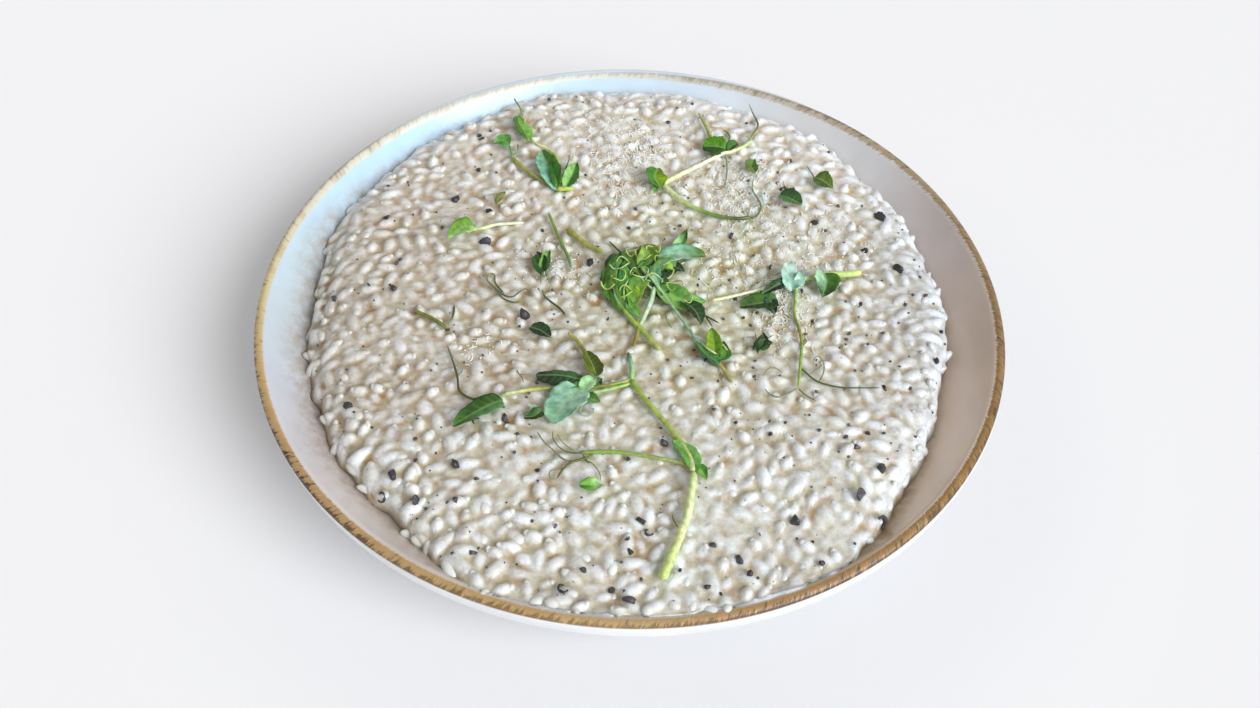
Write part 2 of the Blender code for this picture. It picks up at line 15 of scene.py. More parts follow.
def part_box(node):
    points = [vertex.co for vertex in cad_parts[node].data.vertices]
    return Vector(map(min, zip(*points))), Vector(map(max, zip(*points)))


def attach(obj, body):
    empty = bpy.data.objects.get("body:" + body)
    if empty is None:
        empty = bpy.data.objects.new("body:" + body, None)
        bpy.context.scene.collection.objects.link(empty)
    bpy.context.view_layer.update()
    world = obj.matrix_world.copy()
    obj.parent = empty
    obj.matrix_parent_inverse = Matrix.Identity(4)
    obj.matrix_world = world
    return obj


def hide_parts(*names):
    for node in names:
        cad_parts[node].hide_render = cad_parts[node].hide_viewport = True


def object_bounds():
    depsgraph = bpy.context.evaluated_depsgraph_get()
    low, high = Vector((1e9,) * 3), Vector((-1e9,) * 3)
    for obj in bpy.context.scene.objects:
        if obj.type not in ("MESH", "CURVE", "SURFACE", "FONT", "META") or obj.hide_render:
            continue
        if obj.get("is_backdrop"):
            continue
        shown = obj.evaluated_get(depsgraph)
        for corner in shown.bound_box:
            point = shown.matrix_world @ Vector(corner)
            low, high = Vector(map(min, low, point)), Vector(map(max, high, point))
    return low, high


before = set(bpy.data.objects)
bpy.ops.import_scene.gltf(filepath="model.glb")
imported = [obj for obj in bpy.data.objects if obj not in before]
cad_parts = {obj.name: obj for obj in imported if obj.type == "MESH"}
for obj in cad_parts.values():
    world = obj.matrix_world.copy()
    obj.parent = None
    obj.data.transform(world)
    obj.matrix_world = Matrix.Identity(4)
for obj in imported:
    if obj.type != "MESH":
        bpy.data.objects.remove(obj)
cad_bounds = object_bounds()


# Table and light. The dish stands on matt white card. One large soft window, to the right and a little in
# front, lights it from above, and a pale room all round fills the shadows.

MM = 0.001
CARD_SIDE = 6000.0
CAMERA_PLACE = Vector((0.098, -307.18, 362.91))
CAMERA_AIM = Vector((0.1, -27.84, 36.0))
CAMERA_ROLL = math.radians(2.01)
CAMERA_LENS = 35.0
WINDOW_FROM = Vector((0.62, -0.50, 0.54))
WINDOW_SPREAD = math.radians(38)
WINDOW_LIGHT = 2.85
ROOM_LIGHT = 0.49


def linear(code):
    """An sRGB hex colour as linear values."""
    channels = [int(code[i : i + 2], 16) / 255 for i in (1, 3, 5)]
    return (*[c / 12.92 if c <= 0.04045 else ((c + 0.055) / 1.055) ** 2.4 for c in channels], 1.0)


def add(tree, kind, settings=None, sockets=None, output=None):
    """Adds a node and returns an output; a socket, by name or number, takes a value or another's output."""
    made = tree.nodes.new(kind)
    for name, value in (settings or {}).items():
        setattr(made, name, value)
    for name, value in (sockets or {}).items():
        by_name = (socket for socket in made.inputs if socket.name == name and socket.enabled)
        socket = made.inputs[name] if isinstance(name, int) else next(by_name)
        if isinstance(value, bpy.types.NodeSocket):
            tree.links.new(value, socket)
        else:
            socket.default_value = value
    usable = [socket for socket in made.outputs if socket.enabled and output in (None, socket.name)]
    return usable[0] if usable else made


# Settings that many nodes share.
COLOURS = {"data_type": "RGBA"}
SOFT = {"interpolation_type": "SMOOTHSTEP"}
TIMES = {"operation": "MULTIPLY"}
SCALED = {"operation": "SCALE"}


def begin_material(name):
    made = bpy.data.materials.new(name)
    made.use_nodes = True
    made.node_tree.nodes.clear()
    return made, made.node_tree


camera = bpy.data.objects.new("camera", bpy.data.cameras.new("camera"))
camera.data.lens = CAMERA_LENS
camera.data.sensor_width = 36.0
camera.data.clip_start = 0.01
bpy.context.scene.collection.objects.link(camera)
level = (CAMERA_AIM - CAMERA_PLACE).to_track_quat("-Z", "Y").to_matrix().to_4x4()
turned = Matrix.Rotation(CAMERA_ROLL, 4, (CAMERA_PLACE - CAMERA_AIM).normalized())
camera.matrix_world = Matrix.Translation(CAMERA_PLACE * MM) @ turned @ level
bpy.context.scene.camera = camera
bpy.context.scene.view_settings.view_transform = "Standard"

window = bpy.data.objects.new("window", bpy.data.lights.new("window", "SUN"))
window.data.energy = WINDOW_LIGHT
window.data.angle = WINDOW_SPREAD
window.data.color = linear("#FBFCFF")[:3]
window.rotation_mode = "QUATERNION"
window.rotation_quaternion = (-WINDOW_FROM).to_track_quat("-Z", "Y")
bpy.context.scene.collection.objects.link(window)

# The room: cool daylight from the front and the right, and duller, warmer walls behind and at the left.
room = bpy.data.worlds.new("pale room")
room.use_nodes = True
room.node_tree.nodes.clear()
facing = add(room.node_tree, "ShaderNodeTexCoord", output="Generated")
facing = add(
    room.node_tree,
    "ShaderNodeVectorMath",
    {"operation": "DOT_PRODUCT"},
    {0: facing, 1: (0.66, -0.74, 0.1)},
    "Value",
)
facing = add(room.node_tree, "ShaderNodeMapRange", None, {"Value": facing, "From Min": -0.9, "From Max": 0.9})
walls = add(
    room.node_tree,
    "ShaderNodeMix",
    COLOURS,
    {"Factor": facing, "A": (0.66, 0.58, 0.53, 1.0), "B": (1.36, 1.42, 1.46, 1.0)},
)
sky = add(room.node_tree, "ShaderNodeBackground", None, {"Color": walls, "Strength": ROOM_LIGHT})
add(room.node_tree, "ShaderNodeOutputWorld", None, {"Surface": sky})
bpy.context.scene.world = room

# Card: matt, with fibres that only just show. Close to the bowl on the window's side its colour is painted a
# little greyer: painted shade that offsets the light the glazed wall throws onto it, so that the card looks
# even all round.
card_paper, tree = begin_material("matt white card")
place = add(tree, "ShaderNodeTexCoord", output="Object")
distance = add(tree, "ShaderNodeVectorMath", {"operation": "LENGTH"}, {0: place}, "Value")
close = add(
    tree,
    "ShaderNodeMapRange",
    SOFT,
    {"Value": distance, "From Min": 0.13, "From Max": 0.205, "To Min": 0.14, "To Max": 0.0},
)
outward = add(tree, "ShaderNodeVectorMath", {"operation": "NORMALIZE"}, {0: place}, "Vector")
outward = add(
    tree, "ShaderNodeVectorMath", {"operation": "DOT_PRODUCT"}, {0: outward, 1: (0.64, -0.77, 0.0)}, "Value"
)
outward = add(tree, "ShaderNodeMapRange", None, {"Value": outward, "From Min": -0.35, "From Max": 0.9})
# Painted shade: the card's colour is darker close to the bowl on the window's side.
painted_shade = add(tree, "ShaderNodeMath", TIMES, {0: close, 1: outward})
grey = add(tree, "ShaderNodeMix", COLOURS, {"Factor": painted_shade, "A": linear("#F3F3F4"), "B": linear("#000000")})
fibre = add(tree, "ShaderNodeTexNoise", None, {"Vector": place, "Scale": 900.0, "Detail": 3.0}, "Fac")
relief = add(tree, "ShaderNodeBump", None, {"Strength": 0.05, "Distance": 0.0002, "Height": fibre})
paper = add(
    tree,
    "ShaderNodeBsdfPrincipled",
    None,
    {"Base Color": grey, "Roughness": 0.9, "Specular IOR Level": 0.2, "Normal": relief},
)
add(tree, "ShaderNodeOutputMaterial", None, {"Surface": paper})
card_mesh = bpy.data.meshes.new("card")
half = CARD_SIDE / 2 * MM
card_mesh.from_pydata(
    [(-half, -half, 0), (half, -half, 0), (half, half, 0), (-half, half, 0)], [], [(0, 1, 2, 3)]
)
card_mesh.materials.append(card_paper)
card = bpy.data.objects.new("card", card_mesh)
bpy.context.scene.collection.objects.link(card)
card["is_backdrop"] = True


# Bowl. A coupe of white stoneware, thrown on a wheel and dipped in a glossy bluish-white glaze. Iron oxide
# wiped on its lip ran and broke in the firing, which left a mottled band from pale gold to dark brown.

RIM_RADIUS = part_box("bowl")[1].x / MM
RIM_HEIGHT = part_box("bowl")[1].z / MM
LIP_RADIUS = RIM_RADIUS - 4.0
LIP_HEIGHT = RIM_HEIGHT - 0.5
FLOOR_RADIUS = 62.0
FLOOR_TOP = 7.5
WALL_POWER = 2.4
BAND_DROP = 5.0
FOOT_RADIUS = 64.0
FOOT_WIDTH = 7.0
FOOT_HEIGHT = 3.0
UNDERSIDE_HEIGHT = 2.6
BOWL_SIDES = 540
RIM_STEPS = 7
RIM_SWAY = 0.35
OXIDE_WIDTH = 5.0


def piece_from(name, points, faces, looks, kinds=None, **layers):
    """A smooth object from points in mm and arrays of faces, with a value or a colour for each point."""
    mesh = bpy.data.meshes.new(name)
    corners = np.concatenate([np.ravel(group) for group in faces]).astype(np.int32)
    sizes = np.concatenate([np.full(len(group), group.shape[1]) for group in faces]).astype(np.int32)
    mesh.vertices.add(len(points))
    mesh.vertices.foreach_set("co", np.ascontiguousarray(points * MM, np.float32).ravel())
    mesh.loops.add(len(corners))
    mesh.loops.foreach_set("vertex_index", corners)
    mesh.polygons.add(len(sizes))
    mesh.polygons.foreach_set("loop_start", (np.cumsum(sizes) - sizes).astype(np.int32))
    for look in looks:
        mesh.materials.append(look)
    if kinds is not None:
        mesh.polygons.foreach_set("material_index", np.ascontiguousarray(kinds, np.int32))
    mesh.update(calc_edges=True)
    mesh.shade_smooth()
    for layer, values in layers.items():
        values = np.asarray(values, np.float32)
        kind, field = ("FLOAT_COLOR", "color") if values.ndim == 2 else ("FLOAT", "value")
        attribute = mesh.attributes.new(layer, kind, "POINT")
        attribute.data.foreach_set(field, np.ascontiguousarray(values).ravel())
    made = bpy.data.objects.new(name, mesh)
    bpy.context.scene.collection.objects.link(made)
    return made


def smooth_line(marks, steps):
    """Points along a Catmull-Rom curve through the marks, ends included, with so many steps to each span."""
    marks = np.asarray(marks, float)
    marks = np.vstack([2 * marks[0] - marks[1], marks, 2 * marks[-1] - marks[-2]])
    line = []
    for span in range(len(marks) - 3):
        a, b, c, d = marks[span : span + 4]
        t = (np.arange(steps) / steps)[:, None]
        bend = (2 * a - 5 * b + 4 * c - d) * t**2 + (3 * b - a - 3 * c + d) * t**3
        line.append(b + 0.5 * ((c - a) * t + bend))
    return np.vstack([*line, marks[-2:-1]])


def ring_faces(rings, sides):
    """Quads between rings of points that follow each other, each ring closed."""
    ring, side = np.meshgrid(np.arange(rings - 1), np.arange(sides), indexing="ij")
    after = (side + 1) % sides
    here, there = ring * sides, (ring + 1) * sides
    return np.stack([here + side, there + side, there + after, here + after], -1).reshape(-1, 4)


def smooth_step(value, low, high):
    share = np.clip((value - low) / (high - low), 0.0, 1.0)
    return share * share * (3 - 2 * share)


def wall_height(radius):
    across = np.clip((radius - FLOOR_RADIUS) / (LIP_RADIUS - FLOOR_RADIUS), 0.0, None)
    return FLOOR_TOP + (LIP_HEIGHT - FLOOR_TOP) * across**WALL_POWER


inside = [
    (radius, wall_height(radius)) for radius in (8, 35, FLOOR_RADIUS, 80, 92, *np.arange(100, 131, 1.0))
]
below_band = (RIM_RADIUS - 0.6, RIM_HEIGHT - 2.0 - BAND_DROP)
lip = smooth_line(
    [
        (LIP_RADIUS, LIP_HEIGHT),
        (LIP_RADIUS + 1.6, RIM_HEIGHT),
        (RIM_RADIUS - 0.9, RIM_HEIGHT - 0.5),
        (RIM_RADIUS, RIM_HEIGHT - 2.0),
        (RIM_RADIUS - 0.1, RIM_HEIGHT - 4.0),
        below_band,
    ],
    RIM_STEPS,
)
outside = []
for share in np.linspace(0.975, 0.0, 40):
    radius = FOOT_RADIUS + (below_band[0] - FOOT_RADIUS) * share**0.8
    rise = (radius - FOOT_RADIUS) / (below_band[0] - FOOT_RADIUS)
    outside.append((radius, FOOT_HEIGHT + (below_band[1] - FOOT_HEIGHT) * rise**2.2))
foot = smooth_line(
    [
        (FOOT_RADIUS - 0.3, FOOT_HEIGHT - 1.3),
        (FOOT_RADIUS - 0.7, 0.5),
        (FOOT_RADIUS - 1.6, 0.0),
        (FOOT_RADIUS - FOOT_WIDTH + 1.2, 0.0),
        (FOOT_RADIUS - FOOT_WIDTH + 0.4, 0.6),
        (FOOT_RADIUS - FOOT_WIDTH, UNDERSIDE_HEIGHT),
    ],
    3,
)
underside = [(radius, UNDERSIDE_HEIGHT) for radius in (52, 42, 30, 18, 6)]
profile = np.vstack([inside, lip, outside, foot, underside])
profile[:, 0] = np.minimum(profile[:, 0], RIM_RADIUS)
profile[:, 1] = np.clip(profile[:, 1], 0.0, RIM_HEIGHT)
WALL_RINGS = len(inside) + 9
steps = np.hypot(*np.diff(profile, axis=0).T)
travel = np.concatenate([[0.0], np.cumsum(steps)])

angle = np.arange(BOWL_SIDES) / BOWL_SIDES * math.tau
upper = smooth_step(profile[:, 0], 105.0, RIM_RADIUS)[:, None]
sway = 0.5 + 0.3 * np.sin(2 * angle + 0.7) + 0.2 * np.sin(5 * angle + 2.0)
radius = profile[:, :1] - upper * RIM_SWAY * 0.6 * (0.5 + 0.5 * np.sin(3 * angle + 1.0))
height = profile[:, 1:] - upper * RIM_SWAY * sway
bowl_points = np.stack([radius * np.cos(angle), radius * np.sin(angle), height], -1).reshape(-1, 3)
rings = len(profile)
caps = []
for first, middle_height, turn in ((0, FLOOR_TOP, 1), ((rings - 1) * BOWL_SIDES, UNDERSIDE_HEIGHT, -1)):
    here = first + np.arange(BOWL_SIDES)
    middle = np.full(BOWL_SIDES, len(bowl_points))
    caps.append(np.stack([middle, here, np.roll(here, -1)][::turn], -1))
    bowl_points = np.vstack([bowl_points, (0.0, 0.0, middle_height)])


def for_bowl(values):
    """One value for each ring and side, followed by nought for the two middle points."""
    values = np.broadcast_to(values, (rings, BOWL_SIDES))
    return np.concatenate([values.ravel(), [0.0, 0.0]])


def mottling(tree, place, scale, detail, low, high):
    """Cloudy patches between a low and a high value, the finer the higher their scale."""
    clouds = add(tree, "ShaderNodeTexNoise", None, {"Vector": place, "Scale": scale, "Detail": detail}, "Fac")
    spread = {"Value": clouds, "From Min": 0.3, "From Max": 0.7, "To Min": low, "To Max": high}
    return add(tree, "ShaderNodeMapRange", None, spread)


# Round the rim, as (degrees, inner edge of the band, how far it runs past the lip's inner edge, its colour, how
# dark its flecks are, the wall's glaze with its painted light): teeth of brown on the right, nearly washed out
# at the far side, straw on the left, and ochre with a dark outer line at the near side. At the far side the
# band's pale colour and its short run past the lip are partly the paint and partly a painted highlight. The
# wall's colour is the bluish-white glaze with painted light in it: warmer and pinker on the right and at the
# near side, as painted shade and a painted reflection of the warm room, and bluer at the far side, as a painted
# reflection of the sky; at the near right it is also browned by smeared cream.
RIM_MARKS = (
    (0, 130.9, 5.1, "#886B42", 0.8, "#D4C3B6"),
    (20, 130.6, 4.7, "#978260", 0.8, "#D2C7C4"),
    (40, 130.2, 4.1, "#AA9878", 0.75, "#D6D6D8"),
    (60, 129.6, 2.0, "#BDB5A5", 0.45, "#D8DADC"),
    (80, 129.3, 1.1, "#C8C3B7", 0.35, "#CCDAE6"),
    (100, 129.4, 1.1, "#D8D7CC", 0.2, "#C2DAEC"),
    (130, 129.5, 1.9, "#DADACF", 0.2, "#BBDDF8"),
    (160, 130.3, 4.0, "#D6D1BC", 0.4, "#BCD6E6"),
    (180, 131.0, 5.3, "#D3C393", 0.55, "#C2D1D9"),
    (200, 131.5, 5.6, "#C3A26A", 1.0, "#C8CDD6"),
    (220, 131.8, 5.4, "#B39062", 1.0, "#D2CCCC"),
    (245, 131.9, 5.0, "#B49463", 0.65, "#D4CABF"),
    (270, 132.0, 4.7, "#B49766", 0.5, "#C4BAAC"),
    (285, 131.9, 4.7, "#A98653", 0.75, "#BFAD95"),
    (300, 131.7, 4.7, "#9C774C", 0.9, "#BFA88C"),
    (315, 131.5, 4.6, "#94733F", 0.75, "#DECAB5"),
    (335, 131.2, 4.6, "#8D6B3B", 0.8, "#E8D5C4"),
    (350, 131.0, 4.9, "#8A6A3E", 0.8, "#DBC8B8"),
    (360, 130.9, 5.1, "#886B42", 0.8, "#D4C3B6"),
)
degrees = np.degrees(angle)
mark_angles = [mark[0] for mark in RIM_MARKS]


def round_the_rim(column):
    """One column of the marks at every side of the bowl; a colour as linear values."""
    values = [mark[column] for mark in RIM_MARKS]
    if not isinstance(values[0], str):
        return np.interp(degrees, mark_angles, values)
    return np.stack([np.interp(degrees, mark_angles, channel) for channel in zip(*map(linear, values))], -1)


def colour_for_bowl(colours):
    """One colour for each side, the same on every ring."""
    return np.vstack([np.broadcast_to(colours, (rings, BOWL_SIDES, 4)).reshape(-1, 4), np.ones((2, 4))])


def only_inside(colours):
    """The same, but plain glaze below the lip on the outside."""
    ring = np.arange(rings)[:, None, None]
    return colour_for_bowl(np.where(ring < WALL_RINGS, colours, linear("#E9EBED")))


wall_and_lip = profile[:WALL_RINGS, 0]
band_start = np.interp(round_the_rim(1), wall_and_lip, travel[: len(wall_and_lip)])
band_end = np.interp(LIP_RADIUS, wall_and_lip, travel[: len(wall_and_lip)]) + round_the_rim(2)
along_band = travel[:, None] - band_start
slant = angle + 0.004 * along_band
brushed = np.stack(
    [RIM_RADIUS * np.cos(slant), RIM_RADIUS * np.sin(slant), 0.22 * along_band + 0 * slant, 1 + 0 * slant], -1
)
brushed = np.vstack([brushed.reshape(-1, 4), np.ones((2, 4))])

# The risotto was spread further at the far and the near side, where it touches the lip, than at the sides.
SIDE_REACH = 117.0
FAR_REACH = 7.0
NEAR_REACH = 10.0
NEAR_BULGE = 8.6
LEFT_BULGE = 2.8
RIGHT_DIP = 1.8
FOOD_LIMIT = LIP_RADIUS + 0.2


def bulge(turn, middle, width, power=2):
    """A smooth swelling of 1 at one angle of the rim, all angles in degrees but the first."""
    away = (np.degrees(turn) - middle + 180) % 360 - 180
    return np.exp(-(np.abs(away / width) ** power))


def reach(turn):
    """How far from the middle the risotto meets the wall."""
    side = np.sin(turn)
    even = np.where(side > 0, FAR_REACH * side**2, NEAR_REACH * side**4)
    even += NEAR_BULGE * bulge(turn, 278, 35, 4)
    even += LEFT_BULGE * bulge(turn, 155, 38)
    even -= RIGHT_DIP * bulge(turn, 5, 22)
    uneven = 0.8 * np.sin(7 * turn + 1.0) + 0.6 * np.sin(13 * turn + 2.0)
    return np.minimum(SIDE_REACH + even + uneven, FOOD_LIMIT)


# Cream was dragged up the wall as it was spread: a brown, wet smear at the near side and the near right. The
# same brown film also runs thinly round the wall along the rice's edge and widens into a haze on the left; that
# part is painted shade along the rice.
inner_wall = (np.arange(rings) < len(inside))[:, None]
smear_reach = 3.0 + 7.0 * bulge(angle, 303, 16) + 9.0 * bulge(angle, 190, 55) + 4.0 * bulge(angle, 280, 18)
smear_reach = smear_reach + 0.8 * np.sin(9 * angle) + 0.6 * np.sin(17 * angle + 1.0)
smear_strength = 0.35 + 0.75 * bulge(angle, 307, 21) + 0.3 * bulge(angle, 195, 60)
smear_strength = smear_strength + 0.35 * bulge(angle, 280, 16)
smear = inner_wall * smear_strength * (1 - smooth_step(profile[:, :1] - reach(angle), 0.0, smear_reach))

# Glazed stoneware: glassy and bluish white, with a faint orange-peel surface. The oxide is duller and breaks
# into streaks and dark flecks, the brown film of cream and painted shade is duller too, and the foot ring is
# bare clay.
stoneware, tree = begin_material("glazed stoneware with an oxide rim")
place = add(tree, "ShaderNodeTexCoord", output="Object")
band, across_band, teeth, fleck_share, smeared, bare = (
    add(tree, "ShaderNodeAttribute", {"attribute_name": name}, output="Fac")
    for name in ("band", "across_band", "teeth", "fleck_share", "smear", "bare")
)
tint, glaze_with_painted_light = (
    add(tree, "ShaderNodeAttribute", {"attribute_name": name}, output="Color")
    for name in ("band_colour", "wall_colour")
)
brush_place = add(tree, "ShaderNodeAttribute", {"attribute_name": "brushed"}, output="Vector")
streak = add(
    tree,
    "ShaderNodeTexNoise",
    None,
    {"Vector": brush_place, "Scale": 0.75, "Detail": 5.0, "Roughness": 0.65},
    "Fac",
)
fine = add(
    tree,
    "ShaderNodeTexNoise",
    None,
    {"Vector": brush_place, "Scale": 1.6, "Detail": 4.0, "Roughness": 0.65},
    "Fac",
)
patch = add(tree, "ShaderNodeTexNoise", None, {"Vector": brush_place, "Scale": 0.11, "Detail": 2.0}, "Fac")
ragged = add(
    tree,
    "ShaderNodeMapRange",
    None,
    {"Value": fine, "From Min": 0.3, "From Max": 0.7, "To Min": -1.8, "To Max": 0.5},
)
ragged = add(tree, "ShaderNodeMath", {"operation": "MULTIPLY_ADD"}, {0: ragged, 1: teeth, 2: band})
oxide = add(tree, "ShaderNodeMapRange", SOFT, {"Value": ragged, "From Min": -0.2, "From Max": 0.5})
within = add(
    tree,
    "ShaderNodeMapRange",
    None,
    {"Value": across_band, "From Min": 0.9, "From Max": 1.0, "To Min": 1.0, "To Max": 0.0},
)
oxide = add(tree, "ShaderNodeMath", TIMES, {0: oxide, 1: within})
orange = add(
    tree, "ShaderNodeMapRange", SOFT, {"Value": patch, "From Min": 0.52, "From Max": 0.66, "To Max": 0.3}
)
warm = add(tree, "ShaderNodeMix", COLOURS, {"Factor": orange, "A": tint, "B": linear("#A9854F")})
outer = add(
    tree,
    "ShaderNodeMapRange",
    None,
    {"Value": across_band, "From Min": 0.45, "From Max": 0.92, "To Min": -0.03, "To Max": 0.2},
)
fleck_level = add(tree, "ShaderNodeMath", {"operation": "ADD"}, {0: streak, 1: outer})
flecks = add(tree, "ShaderNodeMapRange", SOFT, {"Value": fleck_level, "From Min": 0.53, "From Max": 0.66})
flecks = add(tree, "ShaderNodeMath", TIMES, {0: flecks, 1: fleck_share})
rim_paint = add(tree, "ShaderNodeMix", COLOURS, {"Factor": flecks, "A": warm, "B": linear("#3E2A16")})
pale = add(
    tree, "ShaderNodeMapRange", SOFT, {"Value": fine, "From Min": 0.54, "From Max": 0.7, "To Max": 0.25}
)
rim_paint = add(tree, "ShaderNodeMix", COLOURS, {"Factor": pale, "A": rim_paint, "B": linear("#EFE6D4")})
depth_of_glaze = mottling(tree, place, 35.0, 3.0, 0.93, 1.07)
# The wall's glaze colour, with its painted shade and painted reflections.
glaze = add(tree, "ShaderNodeVectorMath", SCALED, {0: glaze_with_painted_light, "Scale": depth_of_glaze})
film_break = add(
    tree,
    "ShaderNodeTexNoise",
    None,
    {"Vector": place, "Scale": 260.0, "Detail": 5.0, "Roughness": 0.6},
    "Fac",
)
film_break = add(
    tree,
    "ShaderNodeMapRange",
    None,
    {"Value": film_break, "From Min": 0.35, "From Max": 0.65, "To Min": 0.35, "To Max": 1.3},
)
# The brown film: smeared cream at the near right, and painted shade along the rice's edge and on the left.
film_and_shade = add(tree, "ShaderNodeMath", {"operation": "MULTIPLY", "use_clamp": True}, {0: smeared, 1: film_break})
glaze = add(tree, "ShaderNodeMix", COLOURS, {"Factor": film_and_shade, "A": glaze, "B": linear("#A08A6E")})
colour = add(tree, "ShaderNodeMix", COLOURS, {"Factor": oxide, "A": glaze, "B": rim_paint})
colour = add(tree, "ShaderNodeMix", COLOURS, {"Factor": bare, "A": colour, "B": linear("#CFC3B2")})
dull = add(tree, "ShaderNodeMath", {"operation": "MAXIMUM"}, {0: oxide, 1: film_and_shade})
roughness = add(tree, "ShaderNodeMapRange", None, {"Value": dull, "To Min": 0.10, "To Max": 0.38})
roughness = add(tree, "ShaderNodeMix", {"data_type": "FLOAT"}, {"Factor": bare, "A": roughness, "B": 0.85})
peel = add(tree, "ShaderNodeTexNoise", None, {"Vector": place, "Scale": 420.0, "Detail": 2.0}, "Fac")
relief = add(tree, "ShaderNodeBump", None, {"Strength": 0.06, "Distance": 0.0004, "Height": peel})
relief = add(
    tree, "ShaderNodeBump", None, {"Strength": 0.35, "Distance": 0.0004, "Height": film_and_shade, "Normal": relief}
)
relief = add(
    tree, "ShaderNodeBump", None, {"Strength": 0.3, "Distance": 0.0003, "Height": streak, "Normal": relief}
)
glazed = add(
    tree,
    "ShaderNodeBsdfPrincipled",
    None,
    {"Base Color": colour, "Roughness": roughness, "IOR": 1.5, "Normal": relief},
)
add(tree, "ShaderNodeOutputMaterial", None, {"Surface": glazed})

bare_ring = (profile[:, 1] < 0.8) & (profile[:, 0] < FOOT_RADIUS)
bowl = piece_from(
    "coupe_bowl",
    bowl_points,
    [ring_faces(rings, BOWL_SIDES), *caps],
    [stoneware],
    band=for_bowl(along_band),
    teeth=for_bowl(0.3 + 0.7 * bulge(angle, 25, 50)),
    across_band=for_bowl(np.clip(1 - (band_end - travel[:, None]) / OXIDE_WIDTH, 0, 1)),
    brushed=brushed,
    band_colour=colour_for_bowl(round_the_rim(3)),
    fleck_share=for_bowl(round_the_rim(4)),
    wall_colour=only_inside(round_the_rim(5)),
    smear=for_bowl(smear),
    bare=for_bowl(bare_ring[:, None].astype(float)),
)
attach(bowl, "root")
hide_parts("bowl")


# Rice. Carnaroli grains cooked until plump, about 8 mm long and 3.6 mm wide, that lie every way in the
# cream: a top layer with some grains standing steeply, and a second layer that shows between them.

DOME_TOP = 37.4
DOME_FALL = 1.9
BANK_WIDTH = 10.0
LEFT_BANK = 9.0
GRAIN_LENGTH = 8.0
GRAIN_WIDTH = 3.6
GRAIN_DEPTH = 3.3
TOP_TRIES = 15000
LOW_TRIES = 9000
TOP_SPACING = 2.65
LOW_SPACING = 2.6
LAYER_SPACING = 1.9
TOP_STANDS = (0.35, 1.75)
LOW_STANDS = (-0.75, 0.25)
EDGE_MARGIN = 1.1
STEEP_SHARE = 0.3
STEEP_RISE = 0.7
PROUD_GROWTH = 0.14
PROUD_RISE = 0.7
SEED = 27

chance = np.random.default_rng(SEED)


def dome_height(x, y):
    swell = 0.5 * np.sin(x / 17.0 + 0.6) * np.cos(y / 21.0) + 0.35 * np.sin((x + y) / 9.5)
    return DOME_TOP - DOME_FALL * (np.hypot(x, y) / SIDE_REACH) ** 2 + swell


def heap_height(x, y):
    """The level of the spread risotto, with the bank that rounds down to where it meets the wall."""
    turn = np.arctan2(y, x)
    edge = reach(turn)
    foot_level = wall_height(edge)
    gentle = bulge(turn, 190, 48)
    inward = np.clip((edge - np.hypot(x, y)) / (BANK_WIDTH + LEFT_BANK * gentle), 0.0, 1.0)
    return foot_level + (dome_height(x, y) - foot_level) * (1 - (1 - inward) ** 2) ** (0.5 + 0.4 * gentle)


def scatter_grains(tries, spacing, avoid, avoid_spacing):
    """Grains that keep apart, as rows of x, y, turn, tilt and scale of length and of width."""
    marks = np.empty((0, 2))
    grains = []
    for _ in range(tries):
        turn = chance.uniform(0, math.tau)
        distance = FOOD_LIMIT * math.sqrt(chance.random())
        heading = chance.uniform(0, math.pi)
        steep = chance.random() < STEEP_SHARE
        tilt = math.radians(chance.uniform(28, 62) if steep else chance.normal(0, 11))
        long, wide = chance.uniform(0.84, 1.10), chance.uniform(0.86, 1.12)
        if reach(turn) - distance < EDGE_MARGIN:
            continue
        middle = np.array([distance * math.cos(turn), distance * math.sin(turn)])
        half = 0.5 * (GRAIN_LENGTH * long - GRAIN_WIDTH * wide) * math.cos(tilt)
        own = middle + np.outer((-1, 0, 1), (math.cos(heading), math.sin(heading))) * half
        if len(marks) and (((own[:, None] - marks) ** 2).sum(-1) < spacing**2).any():
            continue
        if len(avoid) and (((own[:, None] - avoid) ** 2).sum(-1) < avoid_spacing**2).any():
            continue
        marks = np.vstack([marks, own])
        grains.append((*middle, heading, tilt, long, wide))
    return np.array(grains), marks


top_grains, top_marks = scatter_grains(TOP_TRIES, TOP_SPACING, np.empty((0, 2)), 0.0)
low_grains, _ = scatter_grains(LOW_TRIES, LOW_SPACING, top_marks, LAYER_SPACING)


